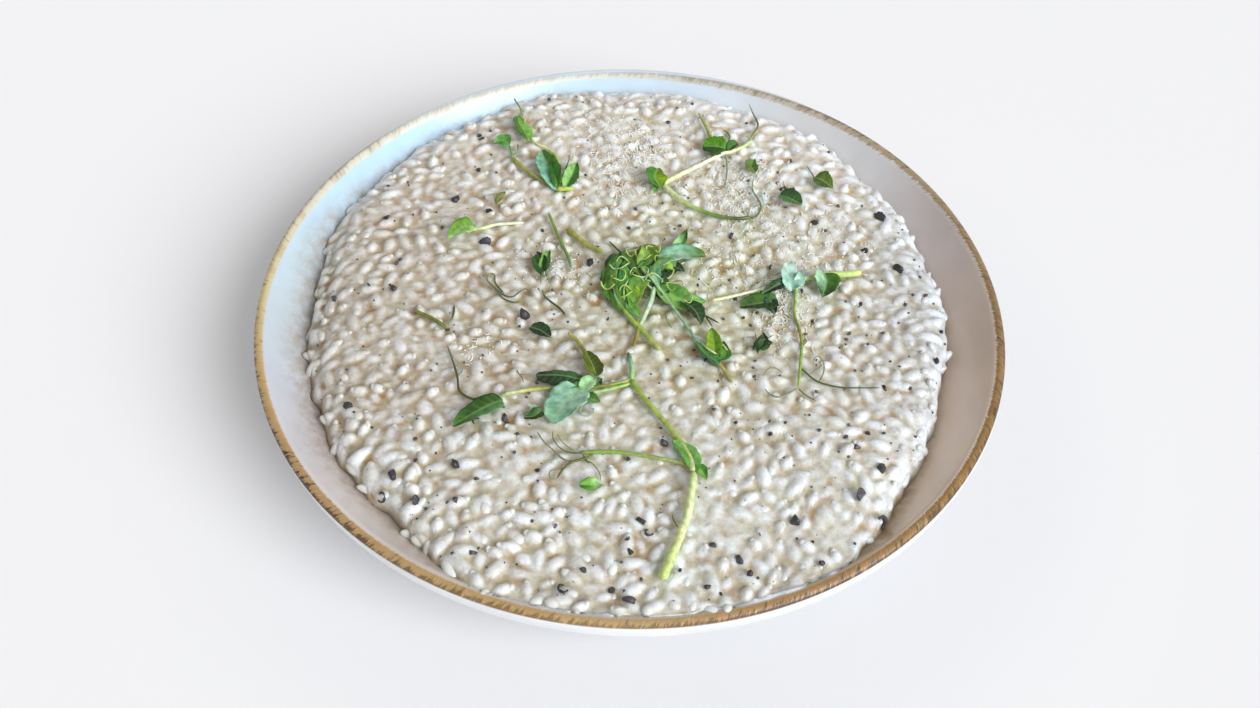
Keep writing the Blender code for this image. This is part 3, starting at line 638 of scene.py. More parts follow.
def settle(grains, low, high):
    """For each grain its middle, its three directions and its half sizes, on the slope of the heap."""
    x, y, heading, tilt, long, wide = grains.T
    step = 1.5
    slope_x = (heap_height(x + step, y) - heap_height(x - step, y)) / (2 * step)
    slope_y = (heap_height(x, y + step) - heap_height(x, y - step)) / (2 * step)
    normal = np.stack([-slope_x, -slope_y, np.ones_like(x)], -1)
    normal /= np.linalg.norm(normal, axis=1, keepdims=True)
    ahead = np.stack([np.cos(heading), np.sin(heading), 0 * x], -1)
    ahead -= normal * (ahead * normal).sum(1, keepdims=True)
    ahead /= np.linalg.norm(ahead, axis=1, keepdims=True)
    side = np.cross(normal, ahead)
    lean, rise = np.cos(tilt)[:, None], np.sin(tilt)[:, None]
    along, up = ahead * lean + normal * rise, normal * lean - ahead * rise
    proud = bulge(np.arctan2(y, x), 245, 38) * smooth_step(np.hypot(x, y), 80.0, 112.0)
    sizes = np.stack([GRAIN_LENGTH * long, GRAIN_WIDTH * wide, GRAIN_DEPTH * wide], -1) / 2
    sizes = sizes * (1 + PROUD_GROWTH * proud[:, None])
    crown = np.hypot(sizes[:, 0] * rise[:, 0], sizes[:, 2] * lean[:, 0])
    top = heap_height(x, y) + chance.uniform(low, high, len(x)) + STEEP_RISE * np.sin(np.abs(tilt))
    top += PROUD_RISE * proud
    middle = np.stack([x, y, top - crown], -1)
    return middle, along, side, up, sizes, crown


top_set = settle(top_grains, *TOP_STANDS)
low_set = settle(low_grains, *LOW_STANDS)


def make_grains(name, grain_set, rings, sides):
    """Rice grains: plump ovals, a little bent, thinner towards one end and nicked where the germ was."""
    t = -np.cos(np.linspace(0, math.pi, rings + 2))
    around = np.arange(sides) / sides * math.tau
    girth = (1 - np.abs(t) ** 2.8) ** 0.5
    everyone, pearls, tints, faces = [], [], [], []
    count = 0
    quads = ring_faces(rings, sides)
    middle, along, side, up, sizes, _ = grain_set
    for i in range(len(middle)):
        bend, taper, nick = chance.normal(0, 0.35), chance.uniform(0.0, 0.22), chance.uniform(0.0, 0.35)
        phase, swell = chance.uniform(0, math.tau), chance.uniform(0.02, 0.06)
        width = girth * (1 - taper * t)
        uneven = 1 + swell * np.sin(3.1 * t[:, None] * 2 + 2 * around + phase)
        across = sizes[i, 1] * (width[:, None] * np.cos(around) * uneven + bend * 0.5 * (1 - t[:, None] ** 2))
        germ = 1 - nick * np.exp(-(((t[:, None] - 0.72) / 0.2) ** 2)) * np.clip(np.sin(around + 0.5), 0, 1)
        upward = sizes[i, 2] * width[:, None] * np.sin(around) * uneven * germ
        body = (
            middle[i]
            + t[:, None, None] * sizes[i, 0] * along[i]
            + across[..., None] * side[i]
            + upward[..., None] * up[i]
        )
        inner = body[1:-1].reshape(-1, 3)
        everyone.append(np.vstack([inner, body[0].mean(0), body[-1].mean(0)]))
        glow = np.repeat(1 - np.abs(t[1:-1]) ** 1.6, sides)
        pearls.append(np.concatenate([glow * chance.uniform(0.6, 1.0), [0.0, 0.0]]))
        tints.append(np.full(len(inner) + 2, chance.uniform(0.0, 1.0)))
        start, end = count + len(inner), count + len(inner) + 1
        first = count + np.arange(sides)
        last = count + (rings - 1) * sides + np.arange(sides)
        faces.append(quads[:, ::-1] + count)
        faces.append(np.stack([np.full(sides, start), np.roll(first, -1), first], -1))
        faces.append(np.stack([np.full(sides, end), last, np.roll(last, -1)], -1))
        count += len(inner) + 2
    quads = np.vstack([group for group in faces if group.shape[1] == 4])
    fans = np.vstack([group for group in faces if group.shape[1] == 3])
    return piece_from(
        name,
        np.vstack(everyone),
        [quads, fans],
        [rice],
        pearl=np.concatenate(pearls),
        tint=np.concatenate(tints),
    )


# Cooked carnaroli rice: a chalky pearl under a translucent starchy skin, so the ends look greyer and warmer
# than the middle, all of it wet with the cooking cream.
rice, tree = begin_material("cooked carnaroli rice")
place = add(tree, "ShaderNodeTexCoord", output="Object")
pearl, clear, tint = (
    add(tree, "ShaderNodeAttribute", {"attribute_name": name}, output="Fac")
    for name in ("pearl", "clear", "tint")
)
chalk = mottling(tree, place, 700.0, 4.0, -0.25, 0.25)
chalk = add(tree, "ShaderNodeMath", {"operation": "ADD", "use_clamp": True}, {0: pearl, 1: chalk})
skin = add(tree, "ShaderNodeMix", COLOURS, {"Factor": tint, "A": linear("#D3D0C8"), "B": linear("#DDDEDA")})
heart = add(tree, "ShaderNodeMix", COLOURS, {"Factor": tint, "A": linear("#E2E2DE"), "B": linear("#EBEEF1")})
colour = add(tree, "ShaderNodeMix", COLOURS, {"Factor": chalk, "A": skin, "B": heart})
colour = add(tree, "ShaderNodeMix", COLOURS, {"Factor": clear, "A": linear("#DADAD3"), "B": colour})
# The cream's tone, painted shade and light included, at half strength.
tone = add(tree, "ShaderNodeAttribute", {"attribute_name": "tone"}, output="Color")
tone = add(tree, "ShaderNodeMix", COLOURS, {"Factor": 0.5, "A": tone, "B": (1.0, 1.0, 1.0, 1.0)})
colour = add(tree, "ShaderNodeVectorMath", TIMES, {0: colour, 1: tone})
starch = add(tree, "ShaderNodeTexNoise", None, {"Vector": place, "Scale": 1300.0, "Detail": 3.0}, "Fac")
relief = add(tree, "ShaderNodeBump", None, {"Strength": 0.18, "Distance": 0.0003, "Height": starch})
grain_look = add(
    tree,
    "ShaderNodeBsdfPrincipled",
    None,
    {
        "Base Color": colour,
        "Roughness": 0.34,
        "IOR": 1.4,
        "Subsurface Weight": 0.5,
        "Subsurface Radius": (1.0, 0.8, 0.6),
        "Subsurface Scale": 0.0021,
        "Coat Weight": 0.6,
        "Coat Roughness": 0.14,
        "Normal": relief,
    },
)
add(tree, "ShaderNodeOutputMaterial", None, {"Surface": grain_look})

upper_grains = make_grains("rice_top_layer", top_set, 7, 9)
lower_grains = make_grains("rice_second_layer", low_set, 6, 8)
for grains in (upper_grains, lower_grains):
    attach(grains, "root")
    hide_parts("risotto")


# Cream. Starch, butter and grated cheese bind the grains: it fills the valleys, runs up over each grain as a
# thin coat and hides some of them. Where it pools it is beige, and where it thins over a grain nearly white;
# the beige of the valleys is also painted shade.

NET_SIDE = 300
CREAM_RISE = 0.4
COAT_OVERHANG = 0.85
COAT_SPAN_SQUARED = 42.0
TOP_COAT = (-0.5, 0.16)
LOW_COAT = (-0.45, 0.1)
BLEND = 2.2
EDGE_FADE = 2.0
WALL_BITE = 0.12
# Tone of the cream across the heap, and of the grains at half strength: painted shade, darker and browner,
# towards the left, away from the window; painted light at the front; painted shade at the right edge; darker
# and greener round the middle.
LEFT_PAINTED_SHADE = np.array((0.81, 0.73, 0.61))
RIGHT_TONE = np.array((1.04, 1.04, 1.04))
FRONT_PAINTED_LIGHT = np.array((0.12, 0.17, 0.2))
BACK_GAIN = np.array((0.2, 0.22, 0.26))
RIM_SHADE = np.array((0.16, 0.11, 0.03))
MIDDLE_DARKENING = np.array((0.12, 0.08, 0.36))
DARKER_MIDDLE = (18.0, 2.0)
DARKER_REACH = 48.0


def waves(x, y, length, count=10):
    """Smooth unevenness between about -1 and 1, made of level waves that cross at all angles."""
    total = 0.0
    for _ in range(count):
        turn, phase = chance.uniform(0, math.tau), chance.uniform(0, math.tau)
        wave_length = length * chance.uniform(0.7, 1.5)
        total = total + np.sin((x * math.cos(turn) + y * math.sin(turn)) * math.tau / wave_length + phase)
    return total / math.sqrt(count)


def disc_net(side):
    """A square net of points pressed into the unit disc, so that they stay evenly spread."""
    a, b = np.meshgrid(np.linspace(-1, 1, side), np.linspace(-1, 1, side), indexing="ij")
    wide = np.abs(a) > np.abs(b)
    safe_a, safe_b = np.where(a == 0, 1e-9, a), np.where(b == 0, 1e-9, b)
    radius = np.where(wide, a, b)
    turn = np.where(wide, math.pi / 4 * b / safe_a, math.pi / 2 - math.pi / 4 * a / safe_b)
    return radius * np.cos(turn), radius * np.sin(turn)


def cream_edge(turn):
    """How far the cream reaches, with the small tongues of its edge."""
    tongues = 0.5 * np.sin(29 * turn) + 0.4 * np.sin(43 * turn + 1.0) + 0.3 * np.sin(71 * turn + 2.0)
    return np.minimum(reach(turn) + 0.3 + tongues, LIP_RADIUS + 0.5)


net_x, net_y = disc_net(NET_SIDE)
edge = cream_edge(np.arctan2(net_y, net_x))
net_x, net_y = net_x * edge, net_y * edge
inward = edge - np.hypot(net_x, net_y)
fade = smooth_step(inward, 0.0, EDGE_FADE)
level = heap_height(net_x, net_y) + CREAM_RISE * fade
unevenness = 0.35 * waves(net_x, net_y, 24.0) + 0.16 * waves(net_x, net_y, 5.0)
unevenness = unevenness + 0.07 * waves(net_x, net_y, 2.2)
level += fade * unevenness
pile = np.ones_like(level)
chalky = 0.4 * np.ones_like(level)
for grain_set, sinks in ((top_set, TOP_COAT), (low_set, LOW_COAT)):
    middle, along, side, up, sizes, crown = grain_set
    for i in range(len(middle)):
        off_x, off_y = net_x - middle[i, 0], net_y - middle[i, 1]
        near = np.nonzero(off_x**2 + off_y**2 < COAT_SPAN_SQUARED)
        heading = math.atan2(along[i, 1], along[i, 0])
        lean = math.hypot(along[i, 0], along[i, 1])
        p = off_x[near] * math.cos(heading) + off_y[near] * math.sin(heading)
        q = -off_x[near] * math.sin(heading) + off_y[near] * math.cos(heading)
        half_long = math.hypot(sizes[i, 0] * lean, sizes[i, 2] * along[i, 2]) + COAT_OVERHANG
        half_wide = sizes[i, 1] + COAT_OVERHANG
        away = np.hypot(p / half_long, q / half_wide)
        coat = middle[i, 2] + crown[i] - chance.uniform(*sinks) - crown[i] * 1.1 * away**2.3
        share = np.exp(BLEND * np.clip(coat - level[near], -6.0, 6.0))
        pile[near] += share
        chalky[near] += share * chance.random()
chalky /= pile
height = level + np.log(pile) / BLEND * fade
height = np.where(inward < 1e-6, wall_height(np.hypot(net_x, net_y)) - WALL_BITE, height)
around_it = height
for _ in range(12):
    padded = np.pad(around_it, 1, "edge")
    around_it = (padded[:-2, 1:-1] + padded[2:, 1:-1] + padded[1:-1, :-2] + padded[1:-1, 2:]) / 4


def cream_level(x, y):
    """The height of the cream at any place, read off the net."""
    turn = np.arctan2(y, x)
    out = np.clip(np.hypot(x, y) / cream_edge(turn), 0, 0.999)
    wide = np.abs(x) > np.abs(y)
    safe_x, safe_y = np.where(x == 0, 1e-9, x), np.where(y == 0, 1e-9, y)
    a = out * np.where(wide, np.sign(x), np.sign(y) * np.arctan(x / safe_y) * 4 / math.pi)
    b = out * np.where(wide, np.sign(x) * np.arctan(y / safe_x) * 4 / math.pi, np.sign(y))
    a, b = (a + 1) / 2 * (NET_SIDE - 1), (b + 1) / 2 * (NET_SIDE - 1)
    i, j = np.minimum(a.astype(int), NET_SIDE - 2), np.minimum(b.astype(int), NET_SIDE - 2)
    a, b = a - i, b - j
    near_row = height[i, j] * (1 - b) + height[i, j + 1] * b
    return near_row * (1 - a) + (height[i + 1, j] * (1 - b) + height[i + 1, j + 1] * b) * a


def spread_tone(x, y):
    """The cream's tone: painted shade towards the left and at the right edge, painted light at the front, paler
    at the back, and darker and greener round the middle, where the shoots lie.
    """
    tone = LEFT_PAINTED_SHADE + (RIGHT_TONE - LEFT_PAINTED_SHADE) * smooth_step(x, -150.0, 75.0)[..., None]
    tone = tone + BACK_GAIN * smooth_step(y, 10.0, 75.0)[..., None]
    tone = tone + FRONT_PAINTED_LIGHT * smooth_step(-y, 40.0, 95.0)[..., None]
    near_middle = np.exp(-((x - DARKER_MIDDLE[0]) ** 2 + (y - DARKER_MIDDLE[1]) ** 2) / DARKER_REACH**2)
    tone = tone * (1 - MIDDLE_DARKENING * near_middle[..., None])
    tone = tone * (1 - RIM_SHADE * smooth_step(x, 80.0, 112.0)[..., None])
    return np.concatenate([tone, np.ones((*np.shape(x), 1))], -1).reshape(-1, 4)


# The grains take the same tone, painted shade and light included.
for grains in (upper_grains, lower_grains):
    points = np.empty(len(grains.data.vertices) * 3, np.float32)
    grains.data.vertices.foreach_get("co", points)
    x, y, z = points.reshape(-1, 3).T.astype(float) / MM
    clear = smooth_step(z - cream_level(x, y), 0.0, 0.8)
    attribute = grains.data.attributes.new("clear", "FLOAT", "POINT")
    attribute.data.foreach_set("value", clear.astype(np.float32))
    attribute = grains.data.attributes.new("tone", "FLOAT_COLOR", "POINT")
    attribute.data.foreach_set("color", spread_tone(x, y).astype(np.float32).ravel())

net_points = np.stack([net_x, net_y, height], -1).reshape(-1, 3)
number = np.arange(NET_SIDE * NET_SIDE).reshape(NET_SIDE, NET_SIDE)
net_quads = np.stack([number[:-1, :-1], number[1:, :-1], number[1:, 1:], number[:-1, 1:]], -1).reshape(-1, 4)
border = np.concatenate([number[:-1, 0], number[-1, :-1], number[:0:-1, -1], number[0, :0:-1]])
border_turn = np.arctan2(net_points[border, 1], net_points[border, 0])
under_points, under_quads, ring_before = [net_points], [], border
for radius in (104.0, 90.0, 76.0, FLOOR_RADIUS, 30.0, 4.0):
    ring = len(net_points) + len(border) * len(under_quads) + np.arange(len(border))
    depth = np.full(len(border), wall_height(radius) + 0.2)
    under_points.append(np.stack([radius * np.cos(border_turn), radius * np.sin(border_turn), depth], -1))
    under_quads.append(np.stack([ring_before, ring, np.roll(ring, -1), np.roll(ring_before, -1)], -1))
    ring_before = ring
cream_points = np.vstack([*under_points, (0.0, 0.0, FLOOR_TOP + 0.2)])
under_fan = np.stack([np.roll(ring_before, -1), ring_before, np.full(len(border), len(cream_points) - 1)], -1)
rest = np.zeros(len(cream_points) - len(net_points))
# Pale where the cream stands above the smoothed level round it, beige where it lies below: a thin coat over a
# grain, and painted shade in the hollows.
thin = np.concatenate([smooth_step(height - around_it, -0.5, 0.42).ravel(), rest])
chalky = np.concatenate([chalky.ravel(), rest])
tone_here = spread_tone(cream_points[:, 0], cream_points[:, 1])

# Risotto cream: starchy and wet. Thick cream is beige and a thin coat over a grain is pale, chalky white or a
# little grey; the beige in the hollows is also painted shade. Browned butter gives some hollows a warm cast,
# and the sap of the shoots a faint green one.
cream, tree = begin_material("starchy risotto cream")
place = add(tree, "ShaderNodeTexCoord", output="Object")
coat, chalk = (
    add(tree, "ShaderNodeAttribute", {"attribute_name": name}, output="Fac")
    for name in ("thin", "chalky")
)
mottle = mottling(tree, place, 260.0, 4.0, -0.25, 0.25)
coat = add(tree, "ShaderNodeMath", {"operation": "ADD", "use_clamp": True}, {0: coat, 1: mottle})
butter = add(tree, "ShaderNodeTexNoise", None, {"Vector": place, "Scale": 110.0, "Detail": 3.0}, "Fac")
butter = add(tree, "ShaderNodeMapRange", SOFT, {"Value": butter, "From Min": 0.50, "From Max": 0.68})
pool = add(tree, "ShaderNodeMix", COLOURS, {"Factor": butter, "A": linear("#C1B69E"), "B": linear("#B0936C")})
sap = add(
    tree, "ShaderNodeTexNoise", {"noise_dimensions": "4D"}, {"Vector": place, "W": 3.0, "Scale": 75.0}, "Fac"
)
sap = add(tree, "ShaderNodeMapRange", SOFT, {"Value": sap, "From Min": 0.54, "From Max": 0.74, "To Max": 0.6})
pool = add(tree, "ShaderNodeMix", COLOURS, {"Factor": sap, "A": pool, "B": linear("#BDBB9C")})
white = add(tree, "ShaderNodeMix", COLOURS, {"Factor": chalk, "A": linear("#DCDCD8"), "B": linear("#EEF3F8")})
# The cream's tone, painted shade and light included: full on the pools, half on the thin coat.
tone = add(tree, "ShaderNodeAttribute", {"attribute_name": "tone"}, output="Color")
pool = add(tree, "ShaderNodeVectorMath", TIMES, {0: pool, 1: tone})
tone = add(tree, "ShaderNodeMix", COLOURS, {"Factor": 0.5, "A": tone, "B": (1.0, 1.0, 1.0, 1.0)})
white = add(tree, "ShaderNodeVectorMath", TIMES, {0: white, 1: tone})
# Beige in the hollows, which is partly painted shade, and pale on the tops.
colour = add(tree, "ShaderNodeMix", COLOURS, {"Factor": coat, "A": pool, "B": white})
stain = add(
    tree,
    "ShaderNodeTexNoise",
    {"noise_dimensions": "4D"},
    {"Vector": place, "W": 8.0, "Scale": 130.0, "Detail": 3.0},
    "Fac",
)
stain = add(
    tree, "ShaderNodeMapRange", SOFT, {"Value": stain, "From Min": 0.60, "From Max": 0.72, "To Max": 0.6}
)
colour = add(tree, "ShaderNodeMix", COLOURS, {"Factor": stain, "A": colour, "B": linear("#9C9294")})
starch = add(
    tree,
    "ShaderNodeTexNoise",
    None,
    {"Vector": place, "Scale": 750.0, "Detail": 6.0, "Roughness": 0.68},
    "Fac",
)
cloudy = add(
    tree,
    "ShaderNodeMapRange",
    None,
    {"Value": starch, "From Min": 0.3, "From Max": 0.7, "To Min": 0.84, "To Max": 1.12},
)
colour = add(tree, "ShaderNodeVectorMath", SCALED, {0: colour, "Scale": cloudy})
relief = add(tree, "ShaderNodeBump", None, {"Strength": 0.6, "Distance": 0.0005, "Height": starch})
creamy = add(
    tree,
    "ShaderNodeBsdfPrincipled",
    None,
    {
        "Base Color": colour,
        "Roughness": 0.34,
        "IOR": 1.4,
        "Subsurface Weight": 0.5,
        "Subsurface Radius": (1.0, 0.75, 0.5),
        "Subsurface Scale": 0.0019,
        "Coat Weight": 0.4,
        "Coat Roughness": 0.16,
        "Normal": relief,
    },
)
add(tree, "ShaderNodeOutputMaterial", None, {"Surface": creamy})
core = piece_from(
    "risotto_cream",
    cream_points,
    [net_quads, *under_quads, under_fan],
    [cream],
    thin=thin,
    chalky=chalky,
    tone=tone_here,
)
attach(core, "root")
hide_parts("risotto")


# Truffle. Black truffle minced by hand: angular bits with a warty black skin and a grey-brown, marbled
# inside, a few thin rings sliced from small ones, and crumbs as fine as pepper stirred all through.

# The bits that can be told apart, as (x, y, size).
TRUFFLE_BITS = (
    (2, -126, 5.0), (6, -98, 4.3), (-75, -83, 5.0), (-55, -79, 4.5), (75, -85, 5.5), (54, -95, 5.0),
    (83, -74, 4.0), (-16, 14, 4.2), (12, -67, 4.2), (-66, -93, 4.0), (36, -110, 3.6), (70, 41, 3.2),
    (88, 27, 3.8), (99, 17, 4.6), (95, 45, 5.2), (-38, -13, 5.6), (-56, 24, 5.0), (-70, 47, 4.0),
    (-41, -60, 4.0), (-86, -2, 3.6), (-46, -111, 3.4), (-53, -93, 2.8), (61, -111, 3.0), (2, -109, 2.8),
    (109, -45, 3.2), (37, 31, 3.0), (-95, 35, 3.0), (-108, -6, 3.2), (-12, -116, 3.0), (39, -115, 2.8),
    (28, -105, 2.6), (-94, -55, 3.6), (76, -66, 3.2), (48, -62, 2.4), (-63, 65, 2.6), (-65, 87, 2.4),
    (88, -40, 2.4), (78, -16, 2.6), (108, -25, 3.0), (-3, -122, 2.4), (-56, 40, 2.6), (26, -120, 2.4),
)
# Thin slices of small ones, as (x, y, size, share of the ring that is missing).
TRUFFLE_RINGS = (
    (8, -102, 1.4, 0.3), (-17.5, -122.5, 1.5, 0.25), (-50, -61, 1.2, 0.4), (-78, -89, 1.4, 0.2),
    (81, -94, 2.6, 0.5),
)
MINCE_COUNT = 170
CRUMB_COUNT = 460
TRUFFLE_SINK = 0.15

bpy.context.view_layer.update()
rice_bed = (core, upper_grains, lower_grains)


def top_of_rice(x, y):
    """The height and the normal of what shows from above at one place."""
    best = None
    for thing in rice_bed:
        hit, place, normal, _ = thing.ray_cast(Vector((x, y, 80.0)) * MM, Vector((0, 0, -1)))
        if hit and (best is None or place.z > best[0]):
            best = (place.z, normal)
    return (best[0] / MM, np.array(best[1])) if best else (heap_height(x, y), np.array((0.0, 0.0, 1.0)))


def ball(subdivisions):
    """Unit icosphere points and triangles."""
    shape = bmesh.new()
    bmesh.ops.create_icosphere(shape, subdivisions=subdivisions, radius=1.0)
    points = np.array([vertex.co[:] for vertex in shape.verts])
    faces = np.array([[vertex.index for vertex in face.verts] for face in shape.faces])
    shape.free()
    return points, faces


def random_turn():
    """A rotation matrix that is as likely to point any way."""
    spun, _ = np.linalg.qr(chance.normal(size=(3, 3)))
    return spun * np.sign(np.linalg.det(spun))


def minced(x, y, size, subdivisions, cuts, sink=TRUFFLE_SINK):
    """One bit cut flat on a few sides: its points, its triangles and which points lie on a cut."""
    points, faces = ball(subdivisions)
    warts = np.array([noise.noise(Vector(point * 2.3 + x)) for point in points])
    points = points * (1 + 0.28 * warts[:, None])
    cut = np.zeros(len(points))
    for _ in range(cuts):
        away = chance.normal(size=3)
        away /= np.linalg.norm(away)
        beyond = points @ away - chance.uniform(0.35, 0.75)
        points = points - np.outer(np.clip(beyond, 0, None), away)
        cut = np.maximum(cut, beyond > 0)
    points = points * np.array((1.0, 0.78, 0.7)) * size / 2
    height, normal = top_of_rice(x, y)
    points = points @ random_turn().T
    return points + np.array((x, y, height)) + normal * size * sink, faces, cut


def closed_by_triangles(quads, sides, last):
    """Quads halved into triangles, with the first ring and the last one, from corner last on, closed."""
    cap = np.array([(0, k, k + 1) for k in range(1, sides - 1)])
    return np.vstack([quads[:, [0, 1, 2]], quads[:, [0, 2, 3]], cap, cap[:, ::-1] + last])


def truffle_ring(x, y, size, missing):
    """A thin open ring that lies on the rice."""
    sides, girth = 28, 7
    t, round_it = np.meshgrid(np.linspace(0, 1, sides), np.arange(girth) / girth * math.tau, indexing="ij")
    turn = x + t * math.tau * (1 - missing)
    thick = size * (0.26 + 0.08 * np.sin(3 * turn + x)) * np.sqrt(1 - np.abs(2 * t - 1) ** 6 * 0.98)
    out = size * (1 + 0.14 * np.sin(2 * turn + y)) + thick * np.cos(round_it)
    height, normal = top_of_rice(x, y)
    points = np.stack([out * np.cos(turn), out * np.sin(turn), thick * np.sin(round_it)], -1).reshape(-1, 3)
    lean = np.array(Vector((0, 0, 1)).rotation_difference(Vector(normal)).to_matrix())
    points = points @ lean.T + np.array((x, y, height + 0.25 * size))
    faces = closed_by_triangles(ring_faces(sides, girth), girth, (sides - 1) * girth)
    return points, faces, np.full(len(points), 0.3)


def scattered(count, margin):
    """Random places on the heap, thinner towards the left and the far side."""
    places = []
    while len(places) < count:
        turn = chance.uniform(0, math.tau)
        distance = (SIDE_REACH + NEAR_REACH) * math.sqrt(chance.random())
        x, y = distance * math.cos(turn), distance * math.sin(turn)
        wanted = 0.62 + 0.19 * x / SIDE_REACH - 0.19 * y / SIDE_REACH
        if reach(turn) - distance > margin and chance.random() < wanted:
            places.append((x, y))
    return places


def joined(parts, palest=1.0):
    """Parts of points, triangles and one value a point made one, with a random shade for each part."""
    points, faces, values, shades, count = [], [], [], [], 0
    for part_points, part_faces, part_values in parts:
        points.append(part_points)
        faces.append(part_faces + count)
        values.append(part_values)
        shades.append(np.full(len(part_points), chance.random() * palest))
        count += len(part_points)
    return np.vstack(points), np.vstack(faces), np.concatenate(values), np.concatenate(shades)


# Black truffle: matt and warty outside. A cut shows dark flesh with paler veins, and the cream dulls it.
truffle, tree = begin_material("minced black truffle")
place = add(tree, "ShaderNodeTexCoord", output="Object")
cut, shade = (
    add(tree, "ShaderNodeAttribute", {"attribute_name": name}, output="Fac")
    for name in ("cut", "shade")
)
vein = add(
    tree,
    "ShaderNodeTexNoise",
    None,
    {"Vector": place, "Scale": 620.0, "Detail": 3.0, "Distortion": 1.5},
    "Fac",
)
vein = add(tree, "ShaderNodeMapRange", SOFT, {"Value": vein, "From Min": 0.5, "From Max": 0.62})
flesh = add(tree, "ShaderNodeMix", COLOURS, {"Factor": vein, "A": linear("#35323A"), "B": linear("#716A70")})
skin = add(tree, "ShaderNodeMix", COLOURS, {"Factor": shade, "A": linear("#26272C"), "B": linear("#625B60")})
sliced = add(tree, "ShaderNodeMath", TIMES, {0: cut, 1: shade})
colour = add(tree, "ShaderNodeMix", COLOURS, {"Factor": sliced, "A": skin, "B": flesh})
wart = add(tree, "ShaderNodeTexVoronoi", None, {"Vector": place, "Scale": 1500.0}, "Distance")
relief = add(tree, "ShaderNodeBump", None, {"Strength": 0.5, "Distance": 0.0004, "Height": wart})
truffle_look = add(
    tree,
    "ShaderNodeBsdfPrincipled",
    None,
    {
        "Base Color": colour,
        "Roughness": 0.42,
        "IOR": 1.45,
        "Coat Weight": 0.25,
        "Coat Roughness": 0.2,
        "Normal": relief,
    },
)
add(tree, "ShaderNodeOutputMaterial", None, {"Surface": truffle_look})

large_bits = [minced(x, y, size, 3, 5) for x, y, size in TRUFFLE_BITS]
large_bits += [truffle_ring(*ring) for ring in TRUFFLE_RINGS]
mince = [minced(x, y, chance.uniform(1.0, 2.2), 2, 4) for x, y in scattered(MINCE_COUNT, 3.0)]
crumbs = [
    minced(x, y, 0.35 + 0.75 * chance.random() ** 2, 2, 2, 0.15) for x, y in scattered(CRUMB_COUNT, 1.5)
]
for name, parts in (("truffle_bits", large_bits), ("truffle_mince", mince), ("truffle_crumbs", crumbs)):
    points, faces, cuts, shades = joined(parts, 0.45 if parts is large_bits else 1.0)
    bits = piece_from(name, points, [faces], [truffle], cut=cuts, shade=shades)
    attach(bits, "root")
    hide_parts("risotto")


# Cheese. Hard cheese grated fine over the finished dish: thin curved shreds, ivory white, that lie in drifts
# where the hand passed and have begun to melt into the cream.

# Drifts as (x, y, half width, half depth, shreds).
CHEESE_DRIFTS = (
    (-2, 72, 14, 20, 150), (42, 56, 15, 22, 190), (54, -4, 10, 17, 130), (-54, -27, 10, 9, 16),
    (-25, 12, 18, 12, 40), (40, 12, 26, 18, 70), (-10, 92, 26, 12, 50), (70, 30, 18, 20, 50),
)
CRUMBS_PER_SHRED = 3.8
SHRED_RADIUS = 0.17
SHRED_SIDES = 5
SHRED_STEPS = 7

shreds = []
for x, y, wide, deep, count in CHEESE_DRIFTS:
    for _ in range(round(count * CRUMBS_PER_SHRED)):
        place = x + chance.normal(0, wide * 0.6), y + chance.normal(0, deep * 0.6)
        shreds.append(minced(*place, chance.uniform(0.4, 1.0), 1, 1, 0.1))
    for _ in range(count):
        at_x, at_y = x + chance.normal(0, wide * 0.55), y + chance.normal(0, deep * 0.55)
        length, heading = chance.uniform(1.6, 4.4), chance.uniform(0, math.tau)
        bend, arch = chance.uniform(-1.2, 1.2), chance.uniform(0.0, 0.5)
        s = np.linspace(-0.5, 0.5, SHRED_STEPS)
        turn = heading + bend * s * 2
        line = np.stack([np.cumsum(np.cos(turn)), np.cumsum(np.sin(turn))], -1) * length / SHRED_STEPS
        line = line - line.mean(0) + (at_x, at_y)
        ends = [top_of_rice(*line[i])[0] for i in (0, SHRED_STEPS // 2, -1)]
        rise = np.interp(s, (-0.5, 0, 0.5), ends) + arch * (1 - 4 * s**2) + 0.12
        round_it = np.arange(SHRED_SIDES) / SHRED_SIDES * math.tau
        side = np.stack([-np.sin(turn), np.cos(turn)], -1)
        girth = SHRED_RADIUS * chance.uniform(0.7, 1.3) * (1 - (2 * s) ** 4 * 0.75)
        points = np.empty((SHRED_STEPS, SHRED_SIDES, 3))
        points[..., :2] = line[:, None] + side[:, None] * (girth[:, None] * 1.5 * np.cos(round_it))[..., None]
        points[..., 2] = rise[:, None] + girth[:, None] * np.sin(round_it)
        quads = ring_faces(SHRED_STEPS, SHRED_SIDES)[:, ::-1]
        last = (SHRED_STEPS - 1) * SHRED_SIDES
        first_cap = np.array([(0, k, k + 1) for k in range(1, SHRED_SIDES - 1)])
        caps = np.vstack([first_cap[:, ::-1], first_cap + last])
        faces = np.vstack([quads[:, [0, 1, 2]], quads[:, [0, 2, 3]], caps])
        shreds.append((points.reshape(-1, 3), faces, np.repeat(s + 0.5, SHRED_SIDES)))

